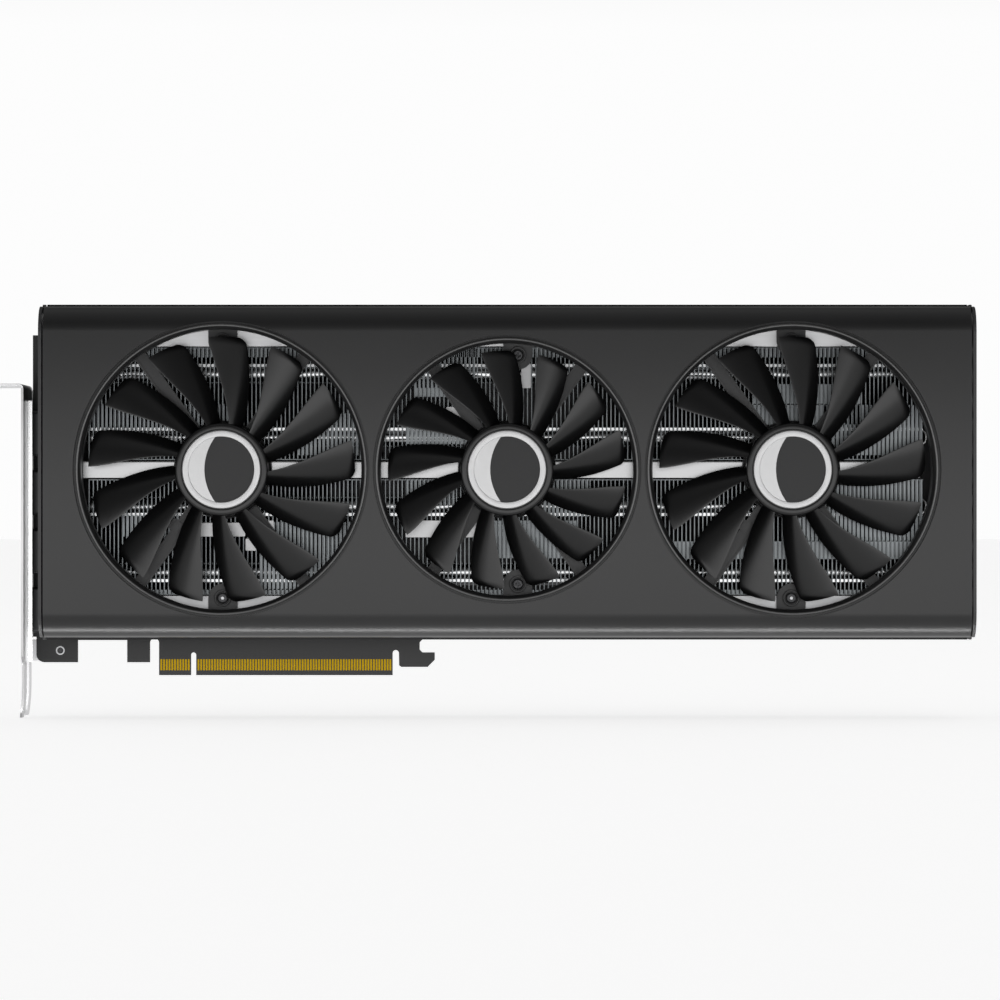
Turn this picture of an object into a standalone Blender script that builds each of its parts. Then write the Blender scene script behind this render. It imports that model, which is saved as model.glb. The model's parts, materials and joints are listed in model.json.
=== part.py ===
"""Graphics card with three fans, a finned cooler and a two slot bracket.

Every length below is in millimetres, in the card's own frame: u runs along the card away from the
bracket, v runs up from the bottom of the edge connector, and w runs out of the board towards the fans.
An empty turns that frame so that u is world +X, v is world +Z and w is world -Y. The origin is the
middle of the long contact field, on the connector's bottom face, at half the board's thickness.
"""
import math

import bmesh
import bpy
from mathutils import Matrix

MM = 0.001
GAP = 0.3                      # clearance between pieces that touch on the real card

# Fans
FAN_U = {"left": -24.5, "middle": 77.5, "right": 179.5}
FAN_V = 74.8
OPENING_RADIUS = {"left": 50.0, "middle": 45.0, "right": 50.0}
EAR_SHIFT = {"left": 0.0, "middle": 3.9, "right": 0.0}
TIP_CLEARANCE = 2.4
BLADES = 13
FIRST_BLADE = {"left": 95.7, "middle": 102.5, "right": 96.3}   # degrees, a tip's leading edge
HUB_RADIUS = 16.6
HUB_WALL = 1.5
HUB_BACK = 34.3
HUB_FRONT = 44.0
CAP_RADIUS = 13.9
CAP_RECESS = 0.6
SHAFT_RADIUS = 1.5
BORE_RADIUS = 1.65
TIP_CHORD = 16.0               # degrees between the blade's edges at the tip
LEAD_SWEEP = 15.5              # degrees by which the root trails the tip, leading edge
TRAIL_SWEEP = 16.0             # the same for the trailing edge
LEAD_BOW = 1.6                 # how fast each edge's sweep fades towards the tip
TRAIL_BOW = 1.07
LEAD_W = (43.0, 42.4)          # height of the leading edge, at the root and at the tip
TRAIL_W = (35.9, 37.1)
CAMBER = 0.7
BLADE_THICKNESS = (1.5, 1.0)   # at the root and at the tip
EDGE_SHARE = 0.35              # of that thickness left at the blade's edges
HUB_CHAMFER = 0.6
CAP_RISE = 0.35
CAP_CHAMFER = 0.4

# Fan frames, behind the rotors
FRAME_BACK = 31.3
FRAME_FRONT = 33.3
FRAME_RING = 3.0
STRUT_ANGLES = (54.0, 126.0, 234.0, 306.0)
STRUT_WIDTH = 4.6
EAR_HALF_WIDTH = 5.2
EAR_INSET = 3.9                # screw centre, inwards from the opening's edge
EAR_HOLE = 1.35
TUBE_RADIUS = 3.6              # bearing tube
TUBE_FRONT = 40.5
SEAT = 0.4                     # how far the tube is sunk into the motor plate
COIL_RADIUS = 12.4
COIL_FRONT = 39.8
FAN_SCREW = {"shank": 1.0, "head": 2.1, "height": 1.2, "chamfer": 0.6}

# Shroud
SHROUD_U = (-89.8, 245.0)
SHROUD_V = (14.7, 133.2)
SHROUD_FRONT = 45.7
SHROUD_ROLL = 9.0
SHROUD_WALL = 2.0
SHROUD_BACK_EDGE = 19.0
SKIRT = 1.1                    # step outwards along the cover's long edges
SKIRT_W = 26.0
END_PLATE = 1.2
END_GROOVE = 0.5
DUCT_BACK = 34.2
DUCT_WALL = 2.2
DUCT_FRONT = 44.6              # inside the cover's sheet
OVERCUT = 2.0                  # how far a cutter runs past what it cuts
END_VENTS = ((16.0, 20.0), (16.0, 50.0), (16.0, 80.0))   # middle w and lower v of each
VENT_WIDTH = 3.0
VENT_LENGTH = 24.0
END_BACK = {"left": 22.0, "right": 8.0}
DISC_STEPS = 40

# Cooler
FIN_U = (-72.8, 227.2)
FIN_PITCH = 6.0                # every fourth fin of the real stack
FIN_THICKNESS = 0.5
FIN_W = (13.0, 30.8)
FIN_SPINE = 0.8
UPPER_FINS_V = (78.3, 118.7)
LOWER_FINS_V = (29.9, 71.3)
BAR_U = (-76.0, 227.6)
BAR_V = (71.7, 77.9)
BAR_W = (25.0, 30.6)
PIPE_V = (37.8, 61.6, 86.5, 109.4)
PIPE_RADIUS = 3.0
PIPE_W = 24.5
PIPE_U = (-74.5, 228.7)
PLATE_U = (12.0, 104.0)
PLATE_V = (33.0, 113.0)
PLATE_W = (3.285, 12.7)
PLATE_CHAMFER = 0.8
RAIL_U = (-76.0, 230.0)
RAIL_DEPTH = 16.0
RAIL_SHEET = 1.0
RAIL_FLANGE = 8.6

# Circuit board
BOARD_HALF = 0.785
BOARD_LEFT = -94.1             # left edge of the foot beside the bracket
BOARD_SIDE = -95.4             # left edge above it, behind the sockets
BOARD_SIDE_V = 14.0
BOARD_RIGHT = 181.0
BOARD_TOP = 124.0
BOARD_EDGE_V = 16.0            # lower edge past the connector
BOARD_FOOT_V = 4.7             # lower edge beside the bracket
BOARD_CORNER = 3.0
STEP_U = (-79.0, -61.0)        # the step cut between the bracket and the connector
STEP_V = 12.8
POST_RIGHT = -52.7             # right edge of the short post before the connector
POST_RELIEF_V = 11.8           # centre of the round relief beside the post
HOOK_RELIEF_V = 8.0            # centre of the round relief before the hook
HOOK_RELIEF = 1.15
HOOK = ((38.2, 3.6), (39.0, 3.0), (48.6, 3.0), (51.2, 5.6), (51.2, 8.3), (46.7, 8.3), (45.7, 9.3),
        (45.7, 12.0), (46.7, 13.0), (51.2, 13.0), (53.0, BOARD_EDGE_V))
FIELD_LONG = 71.65             # edge connector contact fields and the key notch between them
FIELD_SHORT = 11.65
KEY_NOTCH = 1.9
KEY_TOP = 8.3
CONTACT_V = (1.75, 5.85)
CONTACT_THICKNESS = 0.06
CONTACT_LIFT = 0.02            # off the board's face
CONTACT_MARGIN = 0.3
PART_BASE = BOARD_HALF + GAP   # where a part soldered to the board begins
CHIP_U = 58.0
CHIP_V = 73.0
PACKAGE_HALF = 20.0
PACKAGE_TOP = 1.885
DIE_HALF = (11.0, 10.0)
DIE_W = (2.185, 2.985)
MEMORY_SHIFT = ((-33.0, -14.0), (-33.0, 14.0), (33.0, -14.0), (33.0, 14.0))
MEMORY_HALF = (6.0, 7.0)
MEMORY_HEIGHT = 1.2
CHOKE_U = 123.0
CHOKE_V = (49.0, 73.5)
CHOKE_HALF = 5.0
CHOKE_TOP = 6.2
HEADER_LOW = (168.0, 96.0, PART_BASE)
HEADER_HIGH = (172.0, 106.0, 6.1)
POWER_U = {"a": 110.0, "b": 133.0}
POWER_LENGTH = 20.0
POWER_V = (113.0, 126.5)
POWER_TOP = 12.6
POWER_WALL = 1.2
POWER_FRONT_WALL = 1.6
POWER_FLOOR = 3.0

# Bracket
BRACKET_U = -96.7
SHEET = 0.86
BRACKET_W = (-3.2, 35.54)
BRACKET_V = (4.9, 105.6)
TIP_V = -14.4
TIP_WIDTH = 10.19
SHOULDER = 3.0                 # height of the sloped edge beside each tip
SLOT_PITCH = 20.32
FIRST_SLOT_W = 6.0
TAB_LENGTH = 11.43
TAB_NOTCH = 4.42
TAB_NOTCH_DEPTH = 5.5
TIP_CHAMFER = (2.2, 3.0)
TIP_STEP = 0.6                 # the inner edges of the tips start this much higher
FOOT_V = ((5.3, 13.0), (96.5, 104.0))
FOOT_LENGTH = 15.0
FOOT_BACK = -BOARD_HALF - GAP  # the face of each foot that the board rests on
FOOT_HOLES = {"lower": (-85.4, 9.0), "upper": (-85.4, 100.2)}
FOOT_HOLE = 1.1
FOOT_SCREW = {"shank": 0.8, "head": 2.0, "height": 1.3, "chamfer": 0.4, "end": 0.4}
SOCKET_V = (24.0, 45.3, 66.7, 88.0)
SOCKET_W = 4.3
SHELL_HALF = (8.3, 2.9)        # half a display socket's length and height
SHELL_PROUD = 0.4              # how far it stands out of the bracket
SHELL_DEPTH = 17.0
SHELL_WALL = 0.6
SHELL_MOUTH = 10.0
SOCKET_CLEARANCE = (0.6, 0.3)  # of the bracket's openings around the sockets

# Backplate
BACK_U = (-88.0, 243.0)
BACK_V = (15.5, 131.5)
BACK_W = (-6.3, -5.1)
BACK_CORNER = 4.0
BACK_SLOTS = 11
BACK_SLOT_U = (232.0, 238.5)
BACK_SLOT_V = 26.0
BACK_SLOT_HEIGHT = 4.5
BACK_SLOT_PITCH = 9.0
BACK_SCREWS = {"lower": (20.0, 36.0), "upper": (96.0, 110.0)}
BACK_HOLE = 1.8
BACK_SCREW = {"shank": 1.4, "head": 3.0, "height": 1.4, "chamfer": 0.5, "end": -1.2}


def collection(name):
    made = bpy.data.collections.new(name)
    bpy.context.scene.collection.children.link(made)
    return made


def material(name, colour, roughness, metallic):
    made = bpy.data.materials.new(name)
    made.use_nodes = True
    shader = made.node_tree.nodes["Principled BSDF"]
    shader.inputs["Base Color"].default_value = (*colour, 1.0)
    shader.inputs["Roughness"].default_value = roughness
    shader.inputs["Metallic"].default_value = metallic
    return made


def add_object(name, data, finish, parent, place=(0.0, 0.0, 0.0), cutter=False):
    """Put a mesh or curve under a parent empty, at a place in millimetres."""
    made = bpy.data.objects.new(name, data)
    (CUTTERS if cutter else PARTS).objects.link(made)
    made.parent = parent
    made.location = [value * MM for value in place]
    if finish:
        made.data.materials.append(finish)
    if cutter:
        made.hide_render = True
        made.display_type = "WIRE"
    return made


def mesh_from(bm, name):
    bmesh.ops.recalc_face_normals(bm, faces=bm.faces)
    data = bpy.data.meshes.new(name)
    bm.to_mesh(data)
    bm.free()
    return data


def add_cube(bm, low, high):
    made = bmesh.ops.create_cube(bm, size=1.0)
    for vert in made["verts"]:
        for axis in range(3):
            middle = (low[axis] + high[axis]) / 2
            span = high[axis] - low[axis]
            vert.co[axis] = (middle + vert.co[axis] * span) * MM


def box(name, low, high, finish, parent, cutter=False):
    bm = bmesh.new()
    add_cube(bm, low, high)
    return add_object(name, mesh_from(bm, name), finish, parent, cutter=cutter)


def boxes(name, corners, parent):
    """One cutter made of several separate blocks."""
    bm = bmesh.new()
    for low, high in corners:
        add_cube(bm, low, high)
    return add_object(name, mesh_from(bm, name), None, parent, cutter=True)


def turned(name, profile, finish, parent, place=(0.0, 0.0, 0.0), steps=24, cutter=False):
    """Turn a profile of (radius, w) points about w. It runs down its outer side, front to back."""
    closed = profile[0][0] > 0 and profile[-1][0] > 0
    data = bpy.data.meshes.new(name)
    count = len(profile)
    edges = [(i, i + 1) for i in range(count - 1)]
    if closed:
        edges.append((count - 1, 0))
    data.from_pydata([(r * MM, 0.0, w * MM) for r, w in profile], edges, [])
    made = add_object(name, data, finish, parent, place, cutter)
    screw = made.modifiers.new("turn", "SCREW")
    screw.axis = "Z"
    screw.steps = steps
    screw.render_steps = steps
    screw.use_merge_vertices = True
    screw.merge_threshold = 0.00001
    screw.use_smooth_shade = False
    return made


def arc(centre, radius, start, stop, steps):
    """Points along an arc, angles in degrees."""
    points = []
    for i in range(steps + 1):
        angle = math.radians(start + (stop - start) * i / steps)
        points.append((centre[0] + radius * math.cos(angle), centre[1] + radius * math.sin(angle)))
    return points


def circle(centre, radius, steps):
    return arc(centre, radius, 0.0, 360.0, steps)[:-1]


def rounded(low, high, radius, steps=4):
    """Outline of a rectangle with round corners."""
    left, bottom = low[0] + radius, low[1] + radius
    right, top = high[0] - radius, high[1] - radius
    return (arc((right, bottom), radius, -90.0, 0.0, steps) + arc((right, top), radius, 0.0, 90.0, steps)
            + arc((left, top), radius, 90.0, 180.0, steps) + arc((left, bottom), radius, 180.0, 270.0, steps))


def plate(name, outlines, low, high, finish, parent, place=(0.0, 0.0, 0.0), cutter=False):
    """A flat outline, and the holes in it, given thickness from w = low to w = high."""
    curve = bpy.data.curves.new(name + "_outline", "CURVE")
    curve.dimensions = "2D"
    curve.fill_mode = "BOTH"
    curve.extrude = (high - low) / 2 * MM
    for outline in outlines:
        spline = curve.splines.new("POLY")
        spline.points.add(len(outline) - 1)
        for point, (x, y) in zip(spline.points, outline):
            point.co = (x * MM, y * MM, 0.0, 1.0)
        spline.use_cyclic_u = True
    flat = bpy.data.objects.new(name + "_outline", curve)
    PARTS.objects.link(flat)
    data = mesh_of(flat, name)
    data.transform(Matrix.Translation((0.0, 0.0, (low + high) / 2 * MM)))
    return add_object(name, data, finish, parent, place, cutter)


def mesh_of(curve_object, name):
    """Turn a curve object into a welded mesh and remove the curve."""
    bpy.context.view_layer.update()
    evaluated = curve_object.evaluated_get(bpy.context.evaluated_depsgraph_get())
    data = bpy.data.meshes.new_from_object(evaluated)
    bpy.data.objects.remove(curve_object)
    data.name = name
    bm = bmesh.new()
    bm.from_mesh(data)
    bmesh.ops.remove_doubles(bm, verts=bm.verts, dist=0.000001)
    bmesh.ops.recalc_face_normals(bm, faces=bm.faces)
    bm.to_mesh(data)
    bm.free()
    data.materials.clear()
    return data


def combine(target, other, operation):
    step = target.modifiers.new(operation.lower(), "BOOLEAN")
    step.operation = operation
    step.solver = "EXACT"
    step.object = other
    return target


def empty(name, parent, place, rotation=(0.0, 0.0, 0.0)):
    made = bpy.data.objects.new(name, None)
    PARTS.objects.link(made)
    made.parent = parent
    made.location = [value * MM for value in place]
    made.rotation_euler = rotation
    return made


# ---------------------------------------------------------------- fans

def blade_point(tip_radius, along, across, side):
    """A point on a blade: along from root to tip, across from leading to trailing edge, side +1 or -1."""
    root = HUB_RADIUS - HUB_WALL / 2
    radius = root + (tip_radius - root) * along
    lead = -LEAD_SWEEP * (1 - along) ** LEAD_BOW
    trail = -TIP_CHORD - TRAIL_SWEEP * (1 - along) ** TRAIL_BOW
    angle = math.radians(lead + (trail - lead) * across)
    lead_w = LEAD_W[0] + (LEAD_W[1] - LEAD_W[0]) * along
    trail_w = TRAIL_W[0] + (TRAIL_W[1] - TRAIL_W[0]) * along
    thickness = BLADE_THICKNESS[0] + (BLADE_THICKNESS[1] - BLADE_THICKNESS[0]) * along
    swell = math.sin(math.pi * across)
    half = thickness / 2 * (EDGE_SHARE + (1 - EDGE_SHARE) * swell)
    w = lead_w + (trail_w - lead_w) * across + CAMBER * swell + side * half
    return radius, angle, w


def add_blade(bm, tip_radius, turn, spans=4, chords=2):
    """One blade, closed all round, turned about the fan's axis."""
    grids = {}
    for side in (1, -1):
        rows = []
        for i in range(spans + 1):
            row = []
            for j in range(chords + 1):
                radius, angle, w = blade_point(tip_radius, i / spans, j / chords, side)
                x = radius * math.cos(angle + turn)
                y = radius * math.sin(angle + turn)
                row.append(bm.verts.new((x * MM, y * MM, w * MM)))
            rows.append(row)
        grids[side] = rows
        for i in range(spans):
            for j in range(chords):
                bm.faces.new((rows[i][j], rows[i + 1][j], rows[i + 1][j + 1], rows[i][j + 1]))
    front, back = grids[1], grids[-1]
    for i in range(spans):
        for j in (0, chords):
            bm.faces.new((front[i][j], front[i + 1][j], back[i + 1][j], back[i][j]))
    for j in range(chords):
        for i in (0, spans):
            bm.faces.new((front[i][j], front[i][j + 1], back[i][j + 1], back[i][j]))


def fan_rotor(side, hub):
    """Hub cup and blades in one moulding, the hub cap and the shaft, all on the fan's axis."""
    floor = HUB_FRONT - CAP_RECESS
    inner = HUB_RADIUS - HUB_WALL
    cup = [(0.0, floor), (CAP_RADIUS + GAP, floor), (CAP_RADIUS + GAP, HUB_FRONT),
           (HUB_RADIUS - HUB_CHAMFER, HUB_FRONT), (HUB_RADIUS, HUB_FRONT - HUB_CHAMFER), (HUB_RADIUS, HUB_BACK),
           (inner, HUB_BACK), (inner, floor - HUB_WALL), (0.0, floor - HUB_WALL)]
    rotor = turned("fan_rotor_" + side, cup, BLACK, hub)
    bm = bmesh.new()
    for number in range(BLADES):
        turn = math.radians(FIRST_BLADE[side] + 360.0 * number / BLADES)
        add_blade(bm, OPENING_RADIUS[side] - TIP_CLEARANCE, turn)
    name = "blades_" + side
    combine(rotor, add_object(name, mesh_from(bm, name), None, hub, cutter=True), "UNION")
    cap_back = floor + GAP
    cap_front = HUB_FRONT + CAP_RISE
    cap = [(0.0, cap_front), (CAP_RADIUS - CAP_CHAMFER, cap_front), (CAP_RADIUS, HUB_FRONT),
           (CAP_RADIUS, cap_back), (0.0, cap_back)]
    turned("hub_cap_" + side, cap, SILVER, hub)
    shaft_front = floor - HUB_WALL - GAP
    shaft_back = FRAME_BACK + SEAT * 2
    shaft = [(0.0, shaft_front), (SHAFT_RADIUS, shaft_front), (SHAFT_RADIUS, shaft_back), (0.0, shaft_back)]
    turned("motor_shaft_" + side, shaft, STEEL, hub, steps=16)


def frame_window(side, start, stop):
    """Outline of one window between two struts, with a screw ear if it is the top or bottom window."""
    inner, outer = HUB_RADIUS + 1.0, OPENING_RADIUS[side] + 0.3
    half = STRUT_WIDTH / 2
    inner_trim = math.degrees(math.asin(half / inner))
    outer_trim = math.degrees(math.asin(half / outer))
    middle = (start + stop) / 2
    points = arc((0, 0), inner, stop - inner_trim, start + inner_trim, 6)
    if abs(math.cos(math.radians(middle))) > 0.1:
        return points + arc((0, 0), outer, start + outer_trim, stop - outer_trim, 10)
    direction = 1.0 if math.sin(math.radians(middle)) > 0 else -1.0
    centre = (EAR_SHIFT[side], direction * (OPENING_RADIUS[side] - EAR_INSET))
    near = centre[0] + direction * EAR_HALF_WIDTH
    far = centre[0] - direction * EAR_HALF_WIDTH
    near_angle = middle - direction * math.degrees(math.asin(near / outer))
    far_angle = middle - direction * math.degrees(math.asin(far / outer))
    ear_start = 0.0 if direction > 0 else 180.0
    points += arc((0, 0), outer, start + outer_trim, near_angle, 5)
    points += arc(centre, EAR_HALF_WIDTH, ear_start, ear_start - 180.0, 6)
    points += arc((0, 0), outer, far_angle, stop - outer_trim, 5)
    return points


def headed_screw(name, sizes, head, end, parent, place):
    """A screw with its head in front of the plane w = head and its shank running back to w = end."""
    shank, radius, height, chamfer = (sizes[key] for key in ("shank", "head", "height", "chamfer"))
    profile = [(0.0, head + height), (radius - chamfer, head + height), (radius, head + height - chamfer),
               (radius, head), (shank, head), (shank, end), (0.0, end)]
    turned(name, profile, STEEL, parent, place, steps=12)


def fan_frame(side, hub):
    """Motor plate, crossing struts, outer ring and screw ears in one piece, with its bearing tube."""
    outer = OPENING_RADIUS[side] + FRAME_RING
    outlines = [circle((0, 0), outer, DISC_STEPS), circle((0, 0), SHAFT_RADIUS + 1.0, 12)]
    for i in range(4):
        start = STRUT_ANGLES[i]
        stop = STRUT_ANGLES[(i + 1) % 4] + (360.0 if i == 3 else 0.0)
        outlines.append(frame_window(side, start, stop))
    ear_v = OPENING_RADIUS[side] - EAR_INSET
    for direction in (1.0, -1.0):
        outlines.append(circle((EAR_SHIFT[side], direction * ear_v), EAR_HOLE, 8))
    frame = plate("fan_frame_" + side, outlines, FRAME_BACK, FRAME_FRONT, GRAPHITE, hub)
    tube_back = FRAME_BACK + SEAT
    tube = [(TUBE_RADIUS, TUBE_FRONT), (TUBE_RADIUS, tube_back), (BORE_RADIUS, tube_back),
            (BORE_RADIUS, TUBE_FRONT)]
    combine(frame, turned("bearing_tube_" + side, tube, None, hub, steps=16, cutter=True), "UNION")
    seat = FRAME_FRONT + GAP
    bore = TUBE_RADIUS + GAP
    coil = [(COIL_RADIUS, COIL_FRONT), (COIL_RADIUS, seat), (bore, seat), (bore, COIL_FRONT)]
    turned("motor_coil_" + side, coil, COPPER, hub)
    for label, direction in (("top", 1.0), ("bottom", -1.0)):
        place = (EAR_SHIFT[side], direction * ear_v, 0.0)
        headed_screw("fan_screw_" + side + "_" + label, FAN_SCREW, seat, FRAME_BACK + GAP, hub, place)


# ---------------------------------------------------------------- shroud

def shroud_section(back=SHROUD_BACK_EDGE):
    """The cover's section as (v, w) points, from the bottom skirt's back edge round to the top skirt's."""
    low, high = SHROUD_V
    radius, front = SHROUD_ROLL, SHROUD_FRONT
    step = SKIRT_W - SKIRT
    bottom = [(low - SKIRT, back), (low - SKIRT, step), (low, SKIRT_W)]
    top = [(high, SKIRT_W), (high + SKIRT, step), (high + SKIRT, back)]
    return (bottom + arc((low + radius, front - radius), radius, 180.0, 90.0, 6)
            + arc((high - radius, front - radius), radius, 90.0, 0.0, 6) + top)


def cylinders(name, radius_of, low, high, parent):
    """One cutter: a disc on each fan's axis."""
    bm = bmesh.new()
    for side, u in FAN_U.items():
        made = bmesh.ops.create_cone(bm, cap_ends=True, segments=DISC_STEPS, radius1=radius_of(side) * MM,
                                     radius2=radius_of(side) * MM, depth=(high - low) * MM)
        bmesh.ops.translate(bm, verts=made["verts"], vec=(u * MM, FAN_V * MM, (low + high) / 2 * MM))
    return add_object(name, mesh_from(bm, name), None, parent, cutter=True)


def shroud(card):
    """A sheet bent to the cover's section and thickened, with a duct and an opening for each fan."""
    ends = (SHROUD_U[0] + END_PLATE + END_GROOVE, SHROUD_U[1] - END_PLATE - END_GROOVE)
    bm = bmesh.new()
    rows = [[bm.verts.new((u * MM, v * MM, w * MM)) for v, w in shroud_section()] for u in ends]
    for i in range(len(rows[0]) - 1):
        bm.faces.new((rows[0][i], rows[1][i], rows[1][i + 1], rows[0][i + 1]))
    bm.normal_update()
    front = max(bm.faces, key=lambda face: face.calc_area())
    if front.normal.z < 0:
        bmesh.ops.reverse_faces(bm, faces=bm.faces)
    data = bpy.data.meshes.new("shroud")
    bm.to_mesh(data)
    bm.free()
    cover = add_object("shroud", data, BLACK, card)
    thick = cover.modifiers.new("wall", "SOLIDIFY")
    thick.thickness = SHROUD_WALL * MM
    thick.offset = -1.0
    thick.use_even_offset = True
    ducts = cylinders("ducts", lambda side: OPENING_RADIUS[side] + DUCT_WALL, DUCT_BACK, DUCT_FRONT, card)
    holes = cylinders("openings", lambda side: OPENING_RADIUS[side], DUCT_BACK - OVERCUT,
                      SHROUD_FRONT + OVERCUT, card)
    combine(cover, ducts, "UNION")
    combine(cover, holes, "DIFFERENCE")


def end_plate(name, left, back, vents, card):
    """A thin plate that closes one end of the cover and follows its section."""
    outline = [(w, v) for v, w in shroud_section(back)]
    half = VENT_WIDTH / 2
    holes = [rounded((w - half, v), (w + half, v + VENT_LENGTH), half - 0.1, 2) for w, v in vents]
    stand = empty(name + "_stand", card, (left, 0.0, 0.0), (0.0, -math.pi / 2, 0.0))
    plate(name, [outline] + holes, -END_PLATE, 0.0, GRAPHITE, stand)


# ---------------------------------------------------------------- cooler

def fin_stack(name, span, card):
    """Upright fins on a thin spine at their back, one solid like a comb, with channels for the pipes."""
    outline = [(FIN_U[0], FIN_W[0]), (FIN_U[1], FIN_W[0])]
    count = int((FIN_U[1] - FIN_U[0]) / FIN_PITCH) + 1
    spine = FIN_W[0] + FIN_SPINE
    for i in reversed(range(count)):
        left = FIN_U[0] + i * (FIN_U[1] - FIN_U[0] - FIN_THICKNESS) / (count - 1)
        right = left + FIN_THICKNESS
        if i < count - 1:
            outline.append((right, spine))
        outline += [(right, FIN_W[1]), (left, FIN_W[1])]
        if i:
            outline.append((left, spine))
    stand = empty(name + "_stand", card, (0.0, 0.0, 0.0), (math.pi / 2, 0.0, 0.0))
    stack = plate(name, [outline], -span[1], -span[0], FIN, stand)
    reach = PIPE_RADIUS + GAP
    channels = []
    for v in PIPE_V:
        if span[0] < v < span[1]:
            channels.append(((FIN_U[0] - OVERCUT, v - reach, PIPE_W - reach),
                             (FIN_U[1] + OVERCUT, v + reach, FIN_W[1] + OVERCUT)))
    combine(stack, boxes(name + "_channels", channels, card), "DIFFERENCE")


def rail(name, edge, direction, card):
    """Folded sheet along the fins' outer edge: a front flange and a leg that runs back."""
    flange = RAIL_FLANGE * direction
    sheet = RAIL_SHEET * direction
    front, back = FIN_W[1], FIN_W[1] - RAIL_DEPTH
    outline = [(edge, front), (edge + flange, front), (edge + flange, back),
               (edge + flange - sheet, back), (edge + flange - sheet, front - RAIL_SHEET),
               (edge, front - RAIL_SHEET)]
    stand = empty(name + "_stand", card, (0.0, 0.0, 0.0), (math.pi / 2, 0.0, math.pi / 2))
    plate(name, [outline], RAIL_U[0], RAIL_U[1], FIN, stand)


def heat_pipe(name, v, card):
    """A straight pipe along the card."""
    curve = bpy.data.curves.new(name, "CURVE")
    curve.dimensions = "3D"
    curve.bevel_depth = PIPE_RADIUS * MM
    curve.bevel_resolution = 2
    curve.use_fill_caps = True
    spline = curve.splines.new("POLY")
    spline.points.add(1)
    for point, u in zip(spline.points, PIPE_U):
        point.co = (u * MM, v * MM, PIPE_W * MM, 1.0)
    add_object(name, curve, STEEL, card)


def cooler(card):
    fin_stack("fin_stack_upper", UPPER_FINS_V, card)
    fin_stack("fin_stack_lower", LOWER_FINS_V, card)
    rail("cooler_rail_top", UPPER_FINS_V[1] + GAP, 1.0, card)
    rail("cooler_rail_bottom", LOWER_FINS_V[0] - GAP, -1.0, card)
    box("centre_bar", (BAR_U[0], BAR_V[0], BAR_W[0]), (BAR_U[1], BAR_V[1], BAR_W[1]), SILVER, card)
    for number, v in enumerate(PIPE_V):
        heat_pipe("heat_pipe_%d" % (number + 1), v, card)
    base = box("cold_plate", (PLATE_U[0], PLATE_V[0], PLATE_W[0]), (PLATE_U[1], PLATE_V[1], PLATE_W[1]),
               SILVER, card)
    edge = base.modifiers.new("edge", "BEVEL")
    edge.width = PLATE_CHAMFER * MM
    edge.segments = 1


# ---------------------------------------------------------------- board

def board_outline():
    """The board's edge, from the bracket end along the connector to the far end and back."""
    long_right = FIELD_LONG / 2
    long_left = -long_right
    short_right = long_left - KEY_NOTCH
    short_left = short_right - FIELD_SHORT
    corner = (BOARD_LEFT + BOARD_CORNER, BOARD_FOOT_V + BOARD_CORNER)
    points = [(BOARD_SIDE, BOARD_TOP), (BOARD_SIDE, BOARD_SIDE_V), (BOARD_LEFT, BOARD_SIDE_V)]
    points += arc(corner, BOARD_CORNER, 180.0, 270.0, 3)
    points += [(STEP_U[0], BOARD_FOOT_V), (STEP_U[0], STEP_V), (STEP_U[1], STEP_V), (STEP_U[1], BOARD_FOOT_V)]
    points.append((POST_RIGHT, BOARD_FOOT_V))
    relief = (short_left - POST_RIGHT) / 2
    points += arc((POST_RIGHT + relief, POST_RELIEF_V), relief, 180.0, 0.0, 6)
    points += [(short_left, 0.0), (short_right, 0.0)]
    key = KEY_NOTCH / 2
    points += arc((short_right + key, KEY_TOP - key), key, 180.0, 0.0, 6)
    points += [(long_left, 0.0), (long_right, 0.0)]
    points += arc((long_right + HOOK_RELIEF, HOOK_RELIEF_V), HOOK_RELIEF, 180.0, 0.0, 6)
    points += HOOK
    points += [(BOARD_RIGHT - 2.0, BOARD_EDGE_V), (BOARD_RIGHT, BOARD_EDGE_V + 2.0)]
    points += [(BOARD_RIGHT, BOARD_TOP - 1.0), (BOARD_RIGHT - 1.0, BOARD_TOP)]
    return points


def contact_strip(name, left, right, side, card):
    """The gold contact field on one face of the edge connector."""
    near = side * (BOARD_HALF + CONTACT_LIFT)
    far = near + side * CONTACT_THICKNESS
    box(name, (left + CONTACT_MARGIN, CONTACT_V[0], min(near, far)),
        (right - CONTACT_MARGIN, CONTACT_V[1], max(near, far)), GOLD, card)


def chip(name, centre, half, low, high, finish, card):
    """A rectangular part that lies on the board."""
    box(name, (centre[0] - half[0], centre[1] - half[1], low), (centre[0] + half[0], centre[1] + half[1], high),
        finish, card)


def board(card):
    """The board and its two bracket holes, the gold contacts, and the parts under the cooler."""
    outlines = [board_outline()] + [circle(spot, FOOT_HOLE, 16) for spot in FOOT_HOLES.values()]
    plate("circuit_board", outlines, -BOARD_HALF, BOARD_HALF, BOARD, card)
    half = FIELD_LONG / 2
    for label, side in (("front", 1.0), ("back", -1.0)):
        contact_strip("contacts_long_" + label, -half, half, side, card)
        short_right = -half - KEY_NOTCH
        contact_strip("contacts_short_" + label, short_right - FIELD_SHORT, short_right, side, card)
    centre = (CHIP_U, CHIP_V)
    chip("processor_package", centre, (PACKAGE_HALF, PACKAGE_HALF), PART_BASE, PACKAGE_TOP, BOARD, card)
    chip("processor_die", centre, DIE_HALF, DIE_W[0], DIE_W[1], STEEL, card)
    for number, (du, dv) in enumerate(MEMORY_SHIFT):
        chip("memory_%d" % (number + 1), (CHIP_U + du, CHIP_V + dv), MEMORY_HALF, PART_BASE,
             PART_BASE + MEMORY_HEIGHT, CHIP, card)
    for number, v in enumerate(CHOKE_V):
        chip("choke_%d" % (number + 1), (CHOKE_U, v), (CHOKE_HALF, CHOKE_HALF), PART_BASE, CHOKE_TOP,
             CHIP, card)
    box("fan_header", HEADER_LOW, HEADER_HIGH, PALE, card)


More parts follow.
